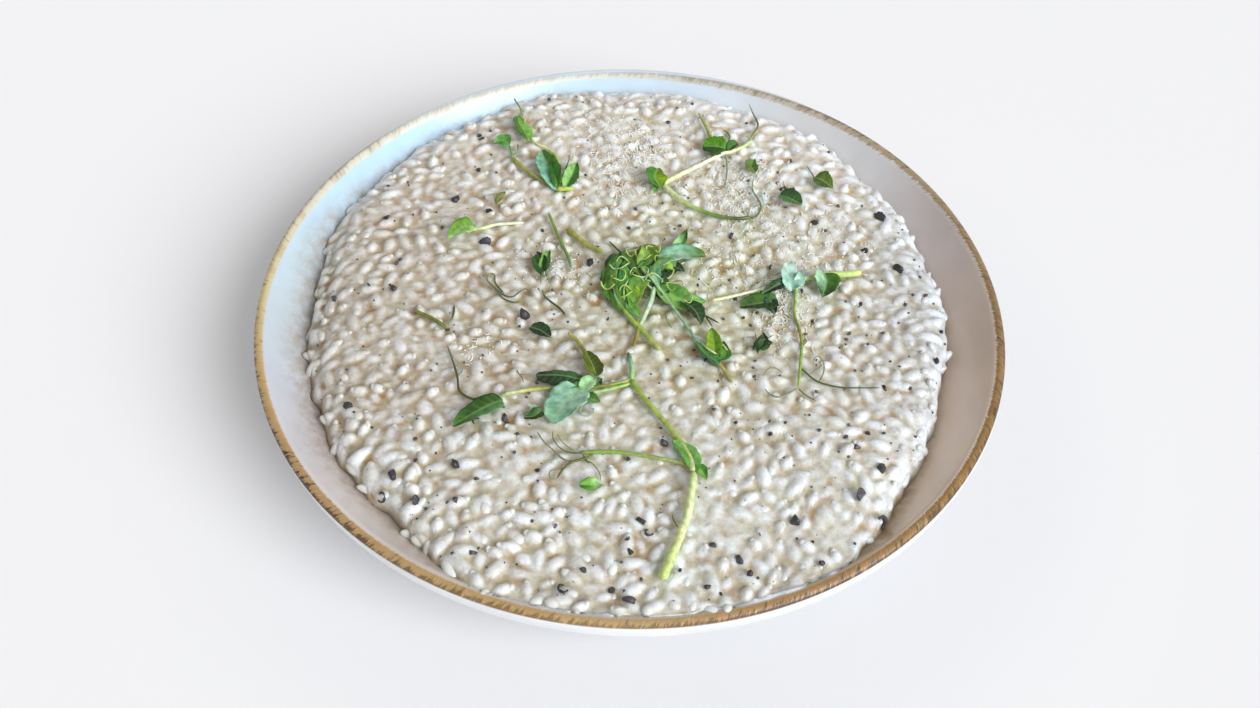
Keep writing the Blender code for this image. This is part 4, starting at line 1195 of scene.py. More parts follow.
# Grated hard cheese: waxy ivory, a little see-through at its thin edges.
cheese, tree = begin_material("grated hard cheese")
shade = add(tree, "ShaderNodeAttribute", {"attribute_name": "shade"}, output="Fac")
colour = add(
    tree, "ShaderNodeMix", COLOURS, {"Factor": shade, "A": linear("#ECE7D6"), "B": linear("#F8F6EF")}
)
place = add(tree, "ShaderNodeTexCoord", output="Object")
crystal = add(tree, "ShaderNodeTexNoise", None, {"Vector": place, "Scale": 2500.0, "Detail": 2.0}, "Fac")
relief = add(tree, "ShaderNodeBump", None, {"Strength": 0.3, "Distance": 0.0002, "Height": crystal})
cheese_look = add(
    tree,
    "ShaderNodeBsdfPrincipled",
    None,
    {
        "Base Color": colour,
        "Roughness": 0.45,
        "IOR": 1.45,
        "Subsurface Weight": 0.4,
        "Subsurface Radius": (1.0, 0.85, 0.6),
        "Subsurface Scale": 0.0006,
        "Normal": relief,
    },
)
add(tree, "ShaderNodeOutputMaterial", None, {"Surface": cheese_look})
points, faces, _, shades = joined(shreds)
grated = piece_from("grated_cheese", points, [faces], [cheese], shade=shades)
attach(grated, "root")
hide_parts("risotto")


# Shoots. Tips of young pea plants, snipped and laid on last: juicy round stems, paired leaves with a waxy
# bloom that folds along the rib, and wiry tendrils. Their stems and leaves lie just clear of the rice.

REST_ABOVE_DOME = 1.95
STEM_STEP = 0.9
LEAF_THICKNESS = 0.28
LEAF_STATIONS = 30
LEAF_LANES = 15
VEINS = 7

# Colours that come back in many stems and leaves, from nearly white to nearly black.
CREAM, PALE, LIME, FRESH, OLIVE, WOODY = "#ECF0CC", "#DCE6A8", "#B4C862", "#8FB04A", "#8C8F40", "#6A6A30"
GREEN, THREAD, SHADE, MIST = "#6B9142", "#7D8A66", "#4A5830", "#A9CFAE"
MID, BRIGHT, DARK, DEEP, BLACKISH = "#4C8A35", "#6FA640", "#2C5A22", "#1B4020", "#102A14"
MINT, BLUE_PALE = "#A2CBB0", "#8ABFA0"


def rest_route(marks, steps):
    """A smooth route through (x, y) or (x, y, lift) marks, with lift above where things lie on the rice."""
    route = smooth_line([(*mark, 0.0)[:3] for mark in marks], steps)
    route[:, 2] += dome_height(route[:, 0], route[:, 1]) + REST_ABOVE_DOME
    return route


def route_frame(route):
    """Directions ahead, to the right and up at each place of a route."""
    ahead = np.gradient(route, axis=0)
    ahead /= np.linalg.norm(ahead, axis=1, keepdims=True)
    side = np.cross(ahead, (0.0, 0.0, 1.0))
    side /= np.linalg.norm(side, axis=1, keepdims=True)
    return ahead, side, np.cross(side, ahead)


def stem(marks, start, end, *colours):
    """A juicy stem or a wiry tendril with rounded ends; start and end are its radii, its colours in order."""
    length = sum(math.dist(a[:2], b[:2]) for a, b in zip(marks, marks[1:]))
    route = rest_route(marks, max(3, round(length / (len(marks) - 1) / STEM_STEP)))
    sides = 12 if start > 0.7 else 8
    count = len(route)
    ahead, side, up = route_frame(route)
    t = np.linspace(0, 1, count)
    from_end = np.minimum(np.arange(count), np.arange(count)[::-1]) / 2.0
    radius = (start + (end - start) * t) * np.sqrt(1 - (1 - np.clip(from_end, 0.02, 1)) ** 2)
    phase = chance.uniform(0, math.tau)
    radius *= 1 + 0.08 * np.sin(t * length / 2.7 + phase) * np.sin(t * 9 + phase)
    around = np.arange(sides) / sides * math.tau
    ribs = 1 + (0.07 if sides > 8 else 0.0) * np.cos(4 * around + 0.6)
    outward = side[:, None] * np.cos(around)[:, None] + up[:, None] * np.sin(around)[:, None]
    points = (route + (0.0, 0.0, start))[:, None] + outward * (radius[:, None] * ribs)[..., None]
    last = (count - 1) * sides
    cap = np.array([(0, k, k + 1) for k in range(1, sides - 1)])
    stops = np.array([linear(code) for code in (colours or (GREEN, GREEN))])
    run = np.stack(
        [np.interp(t * (len(stops) - 1), np.arange(len(stops)), stops[:, k]) for k in range(4)], -1
    )
    upward = np.tile(np.sin(around) * 0.5 + 0.5, count)
    faces = [ring_faces(count, sides), np.vstack([cap, cap[:, ::-1] + last])]
    return points.reshape(-1, 3), faces, np.repeat(run, sides, 0), upward, 0


def leaf(marks, width, left, right, tip=None, roll=0.0, fold=20.0, wave=0.5, blunt=1.4):
    """A wavy leaf from its foot to its tip, folded up along its rib and quilted between its faint veins."""
    route = rest_route(marks, LEAF_STATIONS // (len(marks) - 1))
    count = len(route)
    ahead, side, up = route_frame(route)
    t = np.linspace(0, 1, count)
    turn = math.radians(roll)
    across = side * math.cos(turn) + up * math.sin(turn)
    face = np.cross(across, ahead)
    half = 0.12 + 0.5 * (width + 0.4) * np.sin(math.pi * t**0.75) ** (1.0 / blunt)
    ragged = 1 + 0.05 * np.sin(19 * t + chance.uniform(0, 6)) + 0.03 * np.sin(41 * t + chance.uniform(0, 6))
    raised = route + (0.0, 0.0, 1.0) * (0.6 + np.abs(half * math.sin(turn)) + wave)[:, None]
    v = np.linspace(-1, 1, LEAF_LANES)
    lift = half[:, None] * math.tan(math.radians(fold)) * np.abs(v) ** 1.25
    ripple = wave * np.sin(5.5 * t[:, None] + 1.7 * v) * np.abs(v)
    vein_place = (t[:, None] * VEINS - 0.9 * np.abs(v) + 0.25) % 1.0 - 0.5
    vein = np.exp(-((vein_place / 0.14) ** 2)) * (1 - np.abs(v) ** 4) * 0.3
    rib = np.exp(-((v * half[:, None] / 0.24) ** 2)) * np.ones_like(vein)
    quilt = 0.08 * (np.cos(vein_place * math.tau) * 0.5 + 0.5) * (1 - np.abs(v) ** 3)
    quilt = quilt * np.clip(half / 2, 0, 1)[:, None]
    out = lift + ripple + quilt - 0.1 * rib
    reach_out = (half * ragged)[:, None] * v
    upper = raised[:, None] + across[:, None] * reach_out[..., None] + face[:, None] * out[..., None]
    thickness = LEAF_THICKNESS * (1 - 0.85 * np.abs(v) ** 6) + 0.25 * rib
    lower = upper - face[:, None] * thickness[..., None]
    number = np.arange(count * LEAF_LANES).reshape(count, LEAF_LANES)
    top = np.stack([number[:-1, :-1], number[:-1, 1:], number[1:, 1:], number[1:, :-1]], -1).reshape(-1, 4)
    rim = np.concatenate([number[:, 0], number[-1, 1:], number[-2::-1, -1], number[0, -2:0:-1]])
    under = count * LEAF_LANES
    band = np.stack([rim, np.roll(rim, -1), np.roll(rim, -1) + under, rim + under], -1)
    share = smooth_step(v, -0.25, 0.25)[None, :, None]
    colour = (1 - share) * np.array(linear(left)) + share * np.array(linear(right)) + np.zeros((count, 1, 1))
    towards_tip = smooth_step(t, 0.45, 0.95)[:, None, None] * (tip is not None)
    colour = colour * (1 - towards_tip) + towards_tip * np.array(linear(tip or left))
    points = np.vstack([upper.reshape(-1, 3), lower.reshape(-1, 3)])
    lines = np.tile(np.maximum(vein, rib).ravel(), 2)
    colours = np.tile(colour.reshape(-1, 4), (2, 1))
    return points, [np.vstack([top, top[:, ::-1] + under, band])], colours, lines, 1


def curled(x, y, size, begins, turns, colour):
    """A tendril that winds inwards round one place, on top of the leaves."""
    marks = []
    for share in np.linspace(0, 1, 5 + round(6 * abs(turns))):
        turn = math.radians(begins) + share * turns * math.tau
        out = size * (1 - 0.65 * share)
        marks.append(
            (x + out * math.cos(turn), y + 0.8 * out * math.sin(turn), 3.7 + 0.8 * math.sin(2.6 * turn)),
        )
    return stem(marks, 0.3, 0.22, colour, LIME, colour)


def grow(node, slot, *parts):
    """One piece from stems and leaves, which stands for its node."""
    faces, kinds, count = [], [], 0
    for points, groups, _, _, kind in parts:
        for group in groups:
            faces.append(group + count)
            kinds.append(np.full(len(group), kind))
        count += len(points)
    made = piece_from(
        node + "_grown",
        np.vstack([part[0] for part in parts]),
        faces,
        [pea_stem, pea_leaf],
        kinds=np.concatenate(kinds),
        own_colour=np.vstack([part[2] for part in parts]),
        lines=np.concatenate([part[3] for part in parts]),
    )
    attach(made, "root")
    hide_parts(node)


# Pea stem: watery and translucent under a thin wax, paler on its ribs, with fine lengthwise fibres.
pea_stem, tree = begin_material("pea shoot stem")
place = add(tree, "ShaderNodeTexCoord", output="Object")
own = add(tree, "ShaderNodeAttribute", {"attribute_name": "own_colour"}, output="Color")
mottle = mottling(tree, place, 500.0, 4.0, 0.72, 1.22)
colour = add(tree, "ShaderNodeVectorMath", SCALED, {0: own, "Scale": mottle})
fibre = add(tree, "ShaderNodeTexNoise", None, {"Vector": place, "Scale": 1800.0, "Detail": 2.0}, "Fac")
relief = add(tree, "ShaderNodeBump", None, {"Strength": 0.15, "Distance": 0.0002, "Height": fibre})
stem_look = add(
    tree,
    "ShaderNodeBsdfPrincipled",
    None,
    {
        "Base Color": colour,
        "Roughness": 0.36,
        "IOR": 1.4,
        "Subsurface Weight": 0.35,
        "Subsurface Radius": (0.7, 1.0, 0.3),
        "Subsurface Scale": 0.0008,
        "Coat Weight": 0.2,
        "Coat Roughness": 0.25,
        "Normal": relief,
    },
)
add(tree, "ShaderNodeOutputMaterial", None, {"Surface": stem_look})

# Pea leaf: soft green with a bluish waxy bloom, paler veins and rib, and a satin sheen.
pea_leaf, tree = begin_material("pea shoot leaf")
place = add(tree, "ShaderNodeTexCoord", output="Object")
own = add(tree, "ShaderNodeAttribute", {"attribute_name": "own_colour"}, output="Color")
lines = add(tree, "ShaderNodeAttribute", {"attribute_name": "lines"}, output="Fac")
mottle = mottling(tree, place, 380.0, 4.0, 0.62, 1.45)
blade = add(tree, "ShaderNodeVectorMath", SCALED, {0: own, "Scale": mottle})
line_share = add(tree, "ShaderNodeMath", TIMES, {0: lines, 1: 0.34})
colour = add(tree, "ShaderNodeMix", COLOURS, {"Factor": line_share, "A": blade, "B": linear("#B5D08A")})
cells = add(tree, "ShaderNodeTexVoronoi", None, {"Vector": place, "Scale": 2600.0}, "Distance")
relief = add(tree, "ShaderNodeBump", None, {"Strength": 0.2, "Distance": 0.0002, "Height": cells})
leaf_look = add(
    tree,
    "ShaderNodeBsdfPrincipled",
    None,
    {
        "Base Color": colour,
        "Roughness": 0.44,
        "IOR": 1.45,
        "Subsurface Weight": 0.15,
        "Subsurface Radius": (0.5, 1.0, 0.2),
        "Subsurface Scale": 0.0005,
        "Normal": relief,
    },
)
add(tree, "ShaderNodeOutputMaterial", None, {"Surface": leaf_look})

# A shoot with a leaf near its tip, a pair of leaves at its foot and a side stem.
grow(
    "shoot_back_left", "pea_shoot",
    stem([(-52.5, 108.5, 2), (-49, 101, 2), (-46, 91, 1), (-42, 82), (-35, 76.5), (-31.5, 69), (-30, 52)],
         0.35, 0.75, THREAD, FRESH, PALE, PALE, LIME, FRESH),
    leaf([(-44, 81.5), (-46.5, 87), (-49, 92.5), (-50, 98.3)], 6.2, "#3F6E14", "#7DB850", roll=-15),
    leaf([(-30.5, 51), (-33.3, 60), (-36.5, 68), (-38.3, 75)], 8, "#86C2A2", "#3A7424", roll=15, fold=25),
    leaf([(-30.8, 52, 0.8), (-32.3, 61, 0.8), (-32.5, 69, 0.6)], 4.2, "#2C6418", "#4A8A2A", roll=-20),
    leaf([(-27.5, 52), (-25.6, 59), (-24, 68.5)], 5.4, "#8CC46C", "#2F6A1A", roll=-15, fold=30),
    stem([(-31, 51.5), (-27.5, 52), (-23.6, 52.4)], 1.1, 0.8, "#A3B440", "#BDCB5C", LIME),
    stem([(-30.5, 53), (-37, 57), (-44, 63), (-50, 70.3)], 0.7, 0.85, OLIVE, OLIVE, "#A5A552", "#9CA04A"),
    stem([(-49.8, 70), (-50.5, 74), (-52, 79)], 0.6, 0.45, "#86A860", "#6E9A58"),
    stem([(-49.5, 70.5), (-48, 75), (-48.5, 80)], 0.4, 0.3, "#A5C4A0", SHADE),
    leaf([(-51.6, 77.6), (-54.5, 80.3), (-58, 79.3)], 5.6, MID, "#5F9A48", roll=10),
    stem([(-29, 54, 0.6), (-28, 62, 1), (-25.5, 69, 1.2), (-25, 74, 0.8)],
         0.45, 0.22, "#C3DCA4", PALE, CREAM),
    stem([(-29, 60, 0.3), (-27.8, 66, 0.6), (-27, 71.5)], 0.35, 0.22, "#4A6A30", DARK),
)

# A forked shoot: a straight upper stem with a round leaf, and a lower stem that bends to the right.
grow(
    "shoot_back_right", "pea_shoot",
    stem([(10.5, 57.5), (20, 66), (33, 77), (38, 79.3), (43, 82.3), (46, 86)],
         1.0, 0.6, PALE, CREAM, CREAM, PALE, "#A9C47C"),
    stem([(45.5, 85.3), (47.6, 91), (50, 98), (48.3, 104, 1), (46.6, 110, 2)],
         0.6, 0.25, "#A3B878", OLIVE, WOODY, THREAD, MIST),
    leaf([(9.8, 55), (7.5, 60.5), (8.5, 66.8)], 8, "#3A7A1A", "#7C9E14", roll=-12, fold=28),
    leaf([(9.9, 58.2), (8.3, 55.6), (7.2, 52.8)], 2.6, "#57A845", BRIGHT),
    leaf([(36, 80.5), (31.5, 81.5), (26.6, 82)], 9, "#244C08", "#4C8C0C", roll=12, fold=12, blunt=2.5),
    stem([(31, 83), (29.2, 92), (27.3, 98), (25.3, 103.5)], 0.9, 0.6, OLIVE, "#B4BC74", "#A9B26C", "#C9CFA0"),
    stem([(36, 79), (37.4, 86), (38, 89.5), (36.8, 92.3), (35.3, 93.3)],
         0.45, 0.35, "#6E8A34", "#6E8A34", "#7C8F4C"),
    leaf([(37, 79.8), (39, 83.3), (41.5, 84.3)], 3.6, "#3A6E1E", DARK),
    stem([(36, 79), (36.5, 71), (35.5, 60), (34, 53)], 0.45, 0.2, "#93A878", "#7C9078", MIST),
    stem([(10, 58.3), (16, 50.5), (20, 46.5), (25, 43), (30, 40.5), (35, 39.1), (40, 38.8), (45, 40)],
         1.05, 0.65, PALE, PALE, "#B9CC7C", "#7FA04C", "#6E8440", "#545F30", "#66703C"),
    stem([(44.8, 40), (47.2, 41.8), (49, 48), (46.3, 56.5), (46.5, 62), (47.5, 67.5)],
         0.5, 0.22, "#66703C", THREAD, MIST),
    leaf([(47.6, 66.8), (46, 70.5), (47.3, 74.7)], 4.8, "#5C7A34", "#466A24"),
    stem([(45, 39.8), (43, 36.5), (40.3, 30.5)], 0.3, 0.2, THREAD, MIST),
    stem([(48.7, 44.5), (50.2, 49), (49.8, 55), (50.3, 59)], 0.2, 0.17, MIST),
)

# The middle shoot: a tangle of folded leaves and tendrils, with two long stems towards the front. Its curled
# tendrils are (x, y, size, degrees where it begins, turns, colour).
TANGLE_CURLS = (
    (-4.5, 10, 4.6, 200, 0.9, MIST), (-6, 3, 4.2, 80, -0.8, FRESH), (-3, -4, 4.0, 250, 0.8, LIME),
    (1.5, 5, 4.4, 20, -0.8, MIST), (4.5, 14, 4.4, 120, 0.8, LIME), (11, 12, 4.0, 300, -0.9, LIME),
    (15, -2, 4.0, 40, 0.7, FRESH), (-8, -1, 3.4, 160, 0.7, LIME), (7, 1, 4.2, 330, 0.8, MIST),
    (0, 15, 3.6, 60, 0.8, OLIVE), (8, 17, 3.4, 200, -0.8, LIME), (19, -8, 3.6, 100, -0.6, LIME),
)
grow(
    "shoot_centre", "pea_shoot",
    stem([(3, 8, 2), (6, 4, 2.2), (8.5, 0, 2.2), (13, -7, 1.4), (20.5, -19, 0.4), (24, -25), (28, -30.5)],
         0.65, 0.55, "#9FC48C", "#B4D4A4", "#A3C894", "#7FA98C", "#74A088"),
    stem([(28, -30.5), (31, -34), (35.5, -42)], 0.7, 0.75, FRESH, "#B9B774", "#A89C60"),
    leaf([(-3.5, 16.5), (-7.2, 9), (-7.7, 0), (-5, -8.5), (-2.3, -13)],
         5, "#6BA243", "#46741F", roll=-22, fold=10, wave=0.8),
    leaf([(-2, 12, 0.4), (-3, 4, 0.4), (-3, -3, 0.4), (-1, -10, 0.3)],
         4.2, "#5FA64C", "#3B7A34", roll=20, fold=10, wave=0.8),
    leaf([(4.5, 3.5, 1), (2, -2, 1.2), (0, -12, 0.6)], 7, "#86B444", "#62983A", roll=-8),
    leaf([(-1.5, -7.5, 0.8), (0.5, -11, 0.8), (3.2, -14.5)], 3.4, BRIGHT, MID),
    leaf([(2.5, 8.5, 1), (5.5, 15, 1), (4.5, 21.5)], 6, "#86A84A", "#5F8A34", roll=-15, wave=0.9),
    leaf([(5.5, 9, 0.6), (8, 13, 0.8), (9.5, 19, 0.4)], 3, "#7C9A44", OLIVE, wave=0.8),
    leaf([(6.5, 3, 0.2), (12, 8.5, 0.2), (18.8, 11.5)], 6.4, "#3F7A2A", BLACKISH, roll=-25),
    leaf([(9.5, 11.5, 0.6), (17, 17, 0.6), (27.2, 17.6, 0.3)],
         8.6, BLUE_PALE, MINT, "#5A8A42", roll=12, fold=10, blunt=3.0),
    leaf([(-3, 17.5), (0, 12), (2.5, 5)], 6.4, "#5C8030", "#48702A", roll=8, wave=0.8),
    leaf([(3, 20.5), (6.5, 14), (9, 7)], 5.2, "#6A8A34", OLIVE, roll=-8, wave=0.9),
    leaf([(5, 6), (9, 4), (14, 1)], 4.6, "#35642A", DARK, wave=0.7),
    leaf([(-6, 15), (-8.5, 12.5), (-10, 9)], 3, "#2A5A1C", DEEP, wave=0.9),
    leaf([(-9.5, 8), (-10, 4), (-9.5, 0)], 3, "#3F7A24", DARK, wave=0.9),
    leaf([(-9, 1), (-8.5, -3), (-6.5, -7.5)], 3.2, DEEP, "#4F8A2C", wave=0.9),
    leaf([(-3, 8, 0.8), (-2, 4, 1), (-2.5, -1, 1)], 3.4, "#4F9440", DARK, wave=0.7),
    leaf([(-1.5, -1, 1), (0.5, -4, 1.2), (1, -9.3, 0.8)], 4, "#A3C83C", "#6FA030", wave=0.7),
    leaf([(1, 12, 1), (2.5, 14.5, 1.2), (3, 18, 0.8)], 3, "#7C8A34", "#A3A850", wave=1.0),
    leaf([(4, 17), (7, 18, 0.8), (9.7, 16)], 3, "#6F8A34", "#4F6A24", wave=1.0),
    leaf([(1.5, 8, 1.4), (4, 9, 1.6), (6.6, 7, 1.4)], 2.6, "#3F7A24", FRESH, wave=0.8),
    leaf([(7.3, 9, 1.5), (8.4, 5, 2), (9.6, -0.6, 1.6)], 3.2, "#7CB894", "#A3D0AC", wave=0.5),
    leaf([(10.5, 7, 1.4), (12.3, 9, 1.4), (15, 8, 1)], 3, "#9CC43C", "#6FA82C", wave=0.8),
    # This leaf lies under the pale one, and its near-black colour is painted shade.
    leaf([(12.5, 11, 0.6), (15.5, 10, 0.6), (19.2, 8.5, 0.4)], 3.4, BLACKISH, DEEP, wave=0.6),
    leaf([(11, -3, 0.6), (13, -4.5, 0.6), (16.2, -4)], 3.4, DEEP, DARK, wave=0.7),
    leaf([(14, 17.5, 0.6), (17.5, 23.5), (20, 32)], 3.6, "#9BD08A", "#5E9A48", DARK, fold=35),
    leaf([(8.5, 0, 0.4), (15, -5), (20, -7.3), (26.8, -6)], 7.8, "#58923A", "#7DB052", roll=-15, fold=18),
    leaf([(17.5, -7, 0.2), (22.5, -11.5), (25, -17)], 6, DEEP, BLACKISH, roll=20),
    leaf([(9, 3), (10, -3), (16, -7)], 3.6, DEEP, DARK),
    leaf([(29.5, -31.5), (29.3, -25.5), (28.3, -18.6)], 5, "#7FA51E", "#648C14", roll=10),
    leaf([(31, -34.7), (26.5, -31), (23, -25.3)], 4.5, "#2A5C2C", "#4A8A44", roll=-15),
    leaf([(30.5, -33.5), (33.3, -31), (32.3, -24.5)], 3.6, "#57902E", MID, roll=15),
    stem([(-3, -11, 1.2), (-0.5, -14.5, 0.5), (4, -20), (8, -25.5), (10.7, -28.7)],
         0.8, 0.95, FRESH, "#A3C25C", "#B5B86C"),
    stem([(2, -15, 0.2), (2.6, -20), (1.2, -28)], 0.8, 0.7, OLIVE, "#9C9C48", "#7C7430"),
    stem([(8, -1, 1.6), (7, -7, 1), (5, -13, 0.3), (3.3, -17.5)], 0.9, 0.8, "#A9CC9A", "#C3D8C0", "#B5D0A8"),
    stem([(-4.5, 15.5, 1), (-2, 16.7, 1.4), (0.7, 14.5, 1.8), (2, 11, 2), (4.5, 7, 2), (8, 2, 2)],
         0.4, 0.5, FRESH, MIST),
    stem([(-4, 15.5, 1.2), (-5.4, 9, 1.8), (-6.8, 1, 2), (-5.6, -6, 1.8), (-2, -12.5, 1.2)],
         0.42, 0.5, "#8CBC8C", MIST, FRESH),
    stem([(-3.4, 14, 1.4), (-4.6, 8, 1.8), (-4, 3, 1.8), (-4.4, -3, 1.8)], 0.3, 0.25, MIST, GREEN),
    stem([(-2.8, -8, 2), (-2.8, -2, 2.6), (-1, 1.7, 2.8), (2.5, 3, 2.8), (5, 0, 2.6), (8.3, -3, 2)],
         0.35, 0.4, LIME, MIST, MIST),
    stem([(4.5, 11, 2), (5.5, 15, 2), (3, 19, 1.6), (4.3, 21.6, 1), (7.5, 20, 1), (9, 16.5, 1), (7, 14, 1.4)],
         0.4, 0.3, LIME, OLIVE, FRESH),
    stem([(9.8, 11.5, 1), (8.8, 8, 1.6), (8.4, 4, 2), (9.6, 0, 2), (9, -4, 1.4)],
         0.35, 0.3, MIST, FRESH, MIST),
    stem([(11.6, 9.5, 1.2), (11.3, 5, 1.6), (10.5, 1, 1.8), (11, -4, 1.2)], 0.3, 0.25, MIST, FRESH),
    stem([(15.2, 12, 1), (15, 8, 1.4), (14, 5, 1.4), (12.4, 3.8, 1.4), (11, 5.4, 1.4)],
         0.32, 0.28, LIME, "#C9D47C", LIME),
    stem([(0.5, 1.5, 2.6), (1.2, -2.5, 2.8), (3.6, -3.5, 2.6), (2.8, -6.8, 2.2)], 0.28, 0.22, GREEN, DARK),
    stem([(2, 10, 1.4), (0, 6, 1.8), (-2, 2, 2), (-1.6, -4, 2.2), (0.4, -9, 1.8)],
         0.3, 0.25, GREEN, LIME, GREEN),
    stem([(-8, 13, 0.8), (-10.2, 7, 0.8), (-10.6, 0, 0.8), (-8.4, -7, 0.8)], 0.3, 0.25, FRESH, DARK),
    stem([(-4.4, 17, 1), (-6.5, 20.5), (-9.3, 24.3)], 0.4, 0.3, DARK, SHADE),
    stem([(18.6, 28), (19.3, 31), (20.6, 34)], 0.3, 0.15, DARK, THREAD),
    stem([(22, -9), (26, -12), (31.5, -15.6)], 0.4, 0.28, SHADE, "#4A4030"),
    stem([(26.5, -12.3), (29, -17.5)], 0.3, 0.2, "#4A4030", "#4A4030"),
    stem([(12.3, -12.5, 0.3), (13, -15.5), (14.8, -18.6)], 0.3, 0.2, THREAD, THREAD),
    stem([(24.8, -25, 0.5), (27, -28.6, 1.6), (30.3, -30.8, 1.4)], 0.4, 0.35, "#C9DCB4", PALE),
    stem([(30.6, -20, 0.6), (30.8, -26, 1), (31.3, -33, 0.8)], 0.3, 0.35, LIME, PALE, PALE),
    stem([(31.2, -24.5, 0.8), (32.6, -27.2, 1.8), (34.8, -29.8, 0.8)], 0.3, 0.22, "#C9DCB4", PALE),
    *[curled(*place) for place in TANGLE_CURLS],
)

# A pale stem towards the right rim with five leaves, and a thin stem with tendrils to the front.
grow(
    "shoot_right", "pea_shoot",
    stem([(28.8, -4.9), (36, -2), (48, 3), (54, 5), (60, 7)], 0.55, 0.75, PALE, CREAM, CREAM, PALE),
    stem([(59.5, 6.8), (66, 9.5), (72, 11.5), (78, 12.2), (85, 13.5)],
         0.8, 1.25, PALE, "#C3DC7C", "#C3DC7C", "#D2E08C"),
    stem([(82, 12.8), (84, 14), (86, 15.4)], 0.6, 0.3, LIME, PALE),
    leaf([(53, -3.5), (46, -5.5), (39, -7.2)], 9.6, "#24400F", "#3F6A22", roll=-8, fold=15, blunt=1.8),
    leaf([(50.5, -2, 0.5), (50.3, -6, 0.5), (51.5, -9.5)], 4.4, "#1B3A3A", "#2A5040"),
    leaf([(57, 5.5, 1), (52, 2, 1.6), (46.8, -1.2, 1)], 3.8, BLACKISH, "#1D4A20", roll=15),
    leaf([(58.2, 1.5, 0.8), (57.4, 8, 0.8), (58.2, 15, 1)],
         6.8, "#A5D0BE", "#8FBFB0", "#C5DFD4", roll=-12, fold=16, blunt=1.7, wave=0.8),
    leaf([(59, 2, 0.8), (61.3, 6, 1.2), (62, 11, 0.8)], 3.4, "#B9DCC8", "#9FCFBC", wave=0.8),
    leaf([(70.5, 11.8), (70.8, 5.8), (69.3, -0.2)],
         9.0, "#3C6E1A", "#9CCBA4", "#244C14", roll=12, fold=24, blunt=1.8),
    stem([(60.4, 7), (59.3, -3), (58.7, -9), (60.4, -20), (59.4, -31), (57.8, -43.5)],
         0.65, 0.5, "#C3DCA4", "#9CBC5C", OLIVE, FRESH, "#9CBC5C"),
    stem([(57.8, -43.2), (54.5, -45.8), (51, -47.5), (48, -46.2), (46.3, -44)], 0.3, 0.22, "#8C9A66", THREAD),
    stem([(57.8, -43.5), (60, -46.2), (63.5, -48.7)], 0.3, 0.18, THREAD, SHADE),
    stem([(59, -34), (64.5, -40), (72, -42), (78, -41.7), (86, -41)], 0.4, 0.2, "#6C7A44", SHADE, SHADE),
    stem([(65, -40.5), (67, -36, 0.6), (67.3, -32, 0.8), (66, -28.8, 0.8), (64.2, -29.8, 0.6), (64, -33)],
         0.28, 0.2, THREAD, "#9C9F78"),
    stem([(61.5, -37), (65, -34.5, 0.5), (67, -32, 0.3)], 0.22, 0.18, THREAD, THREAD),
    stem([(46, -38.5), (47.5, -35.8), (50, -34.6), (53, -36.8)], 0.2, 0.17, THREAD, THREAD),
)

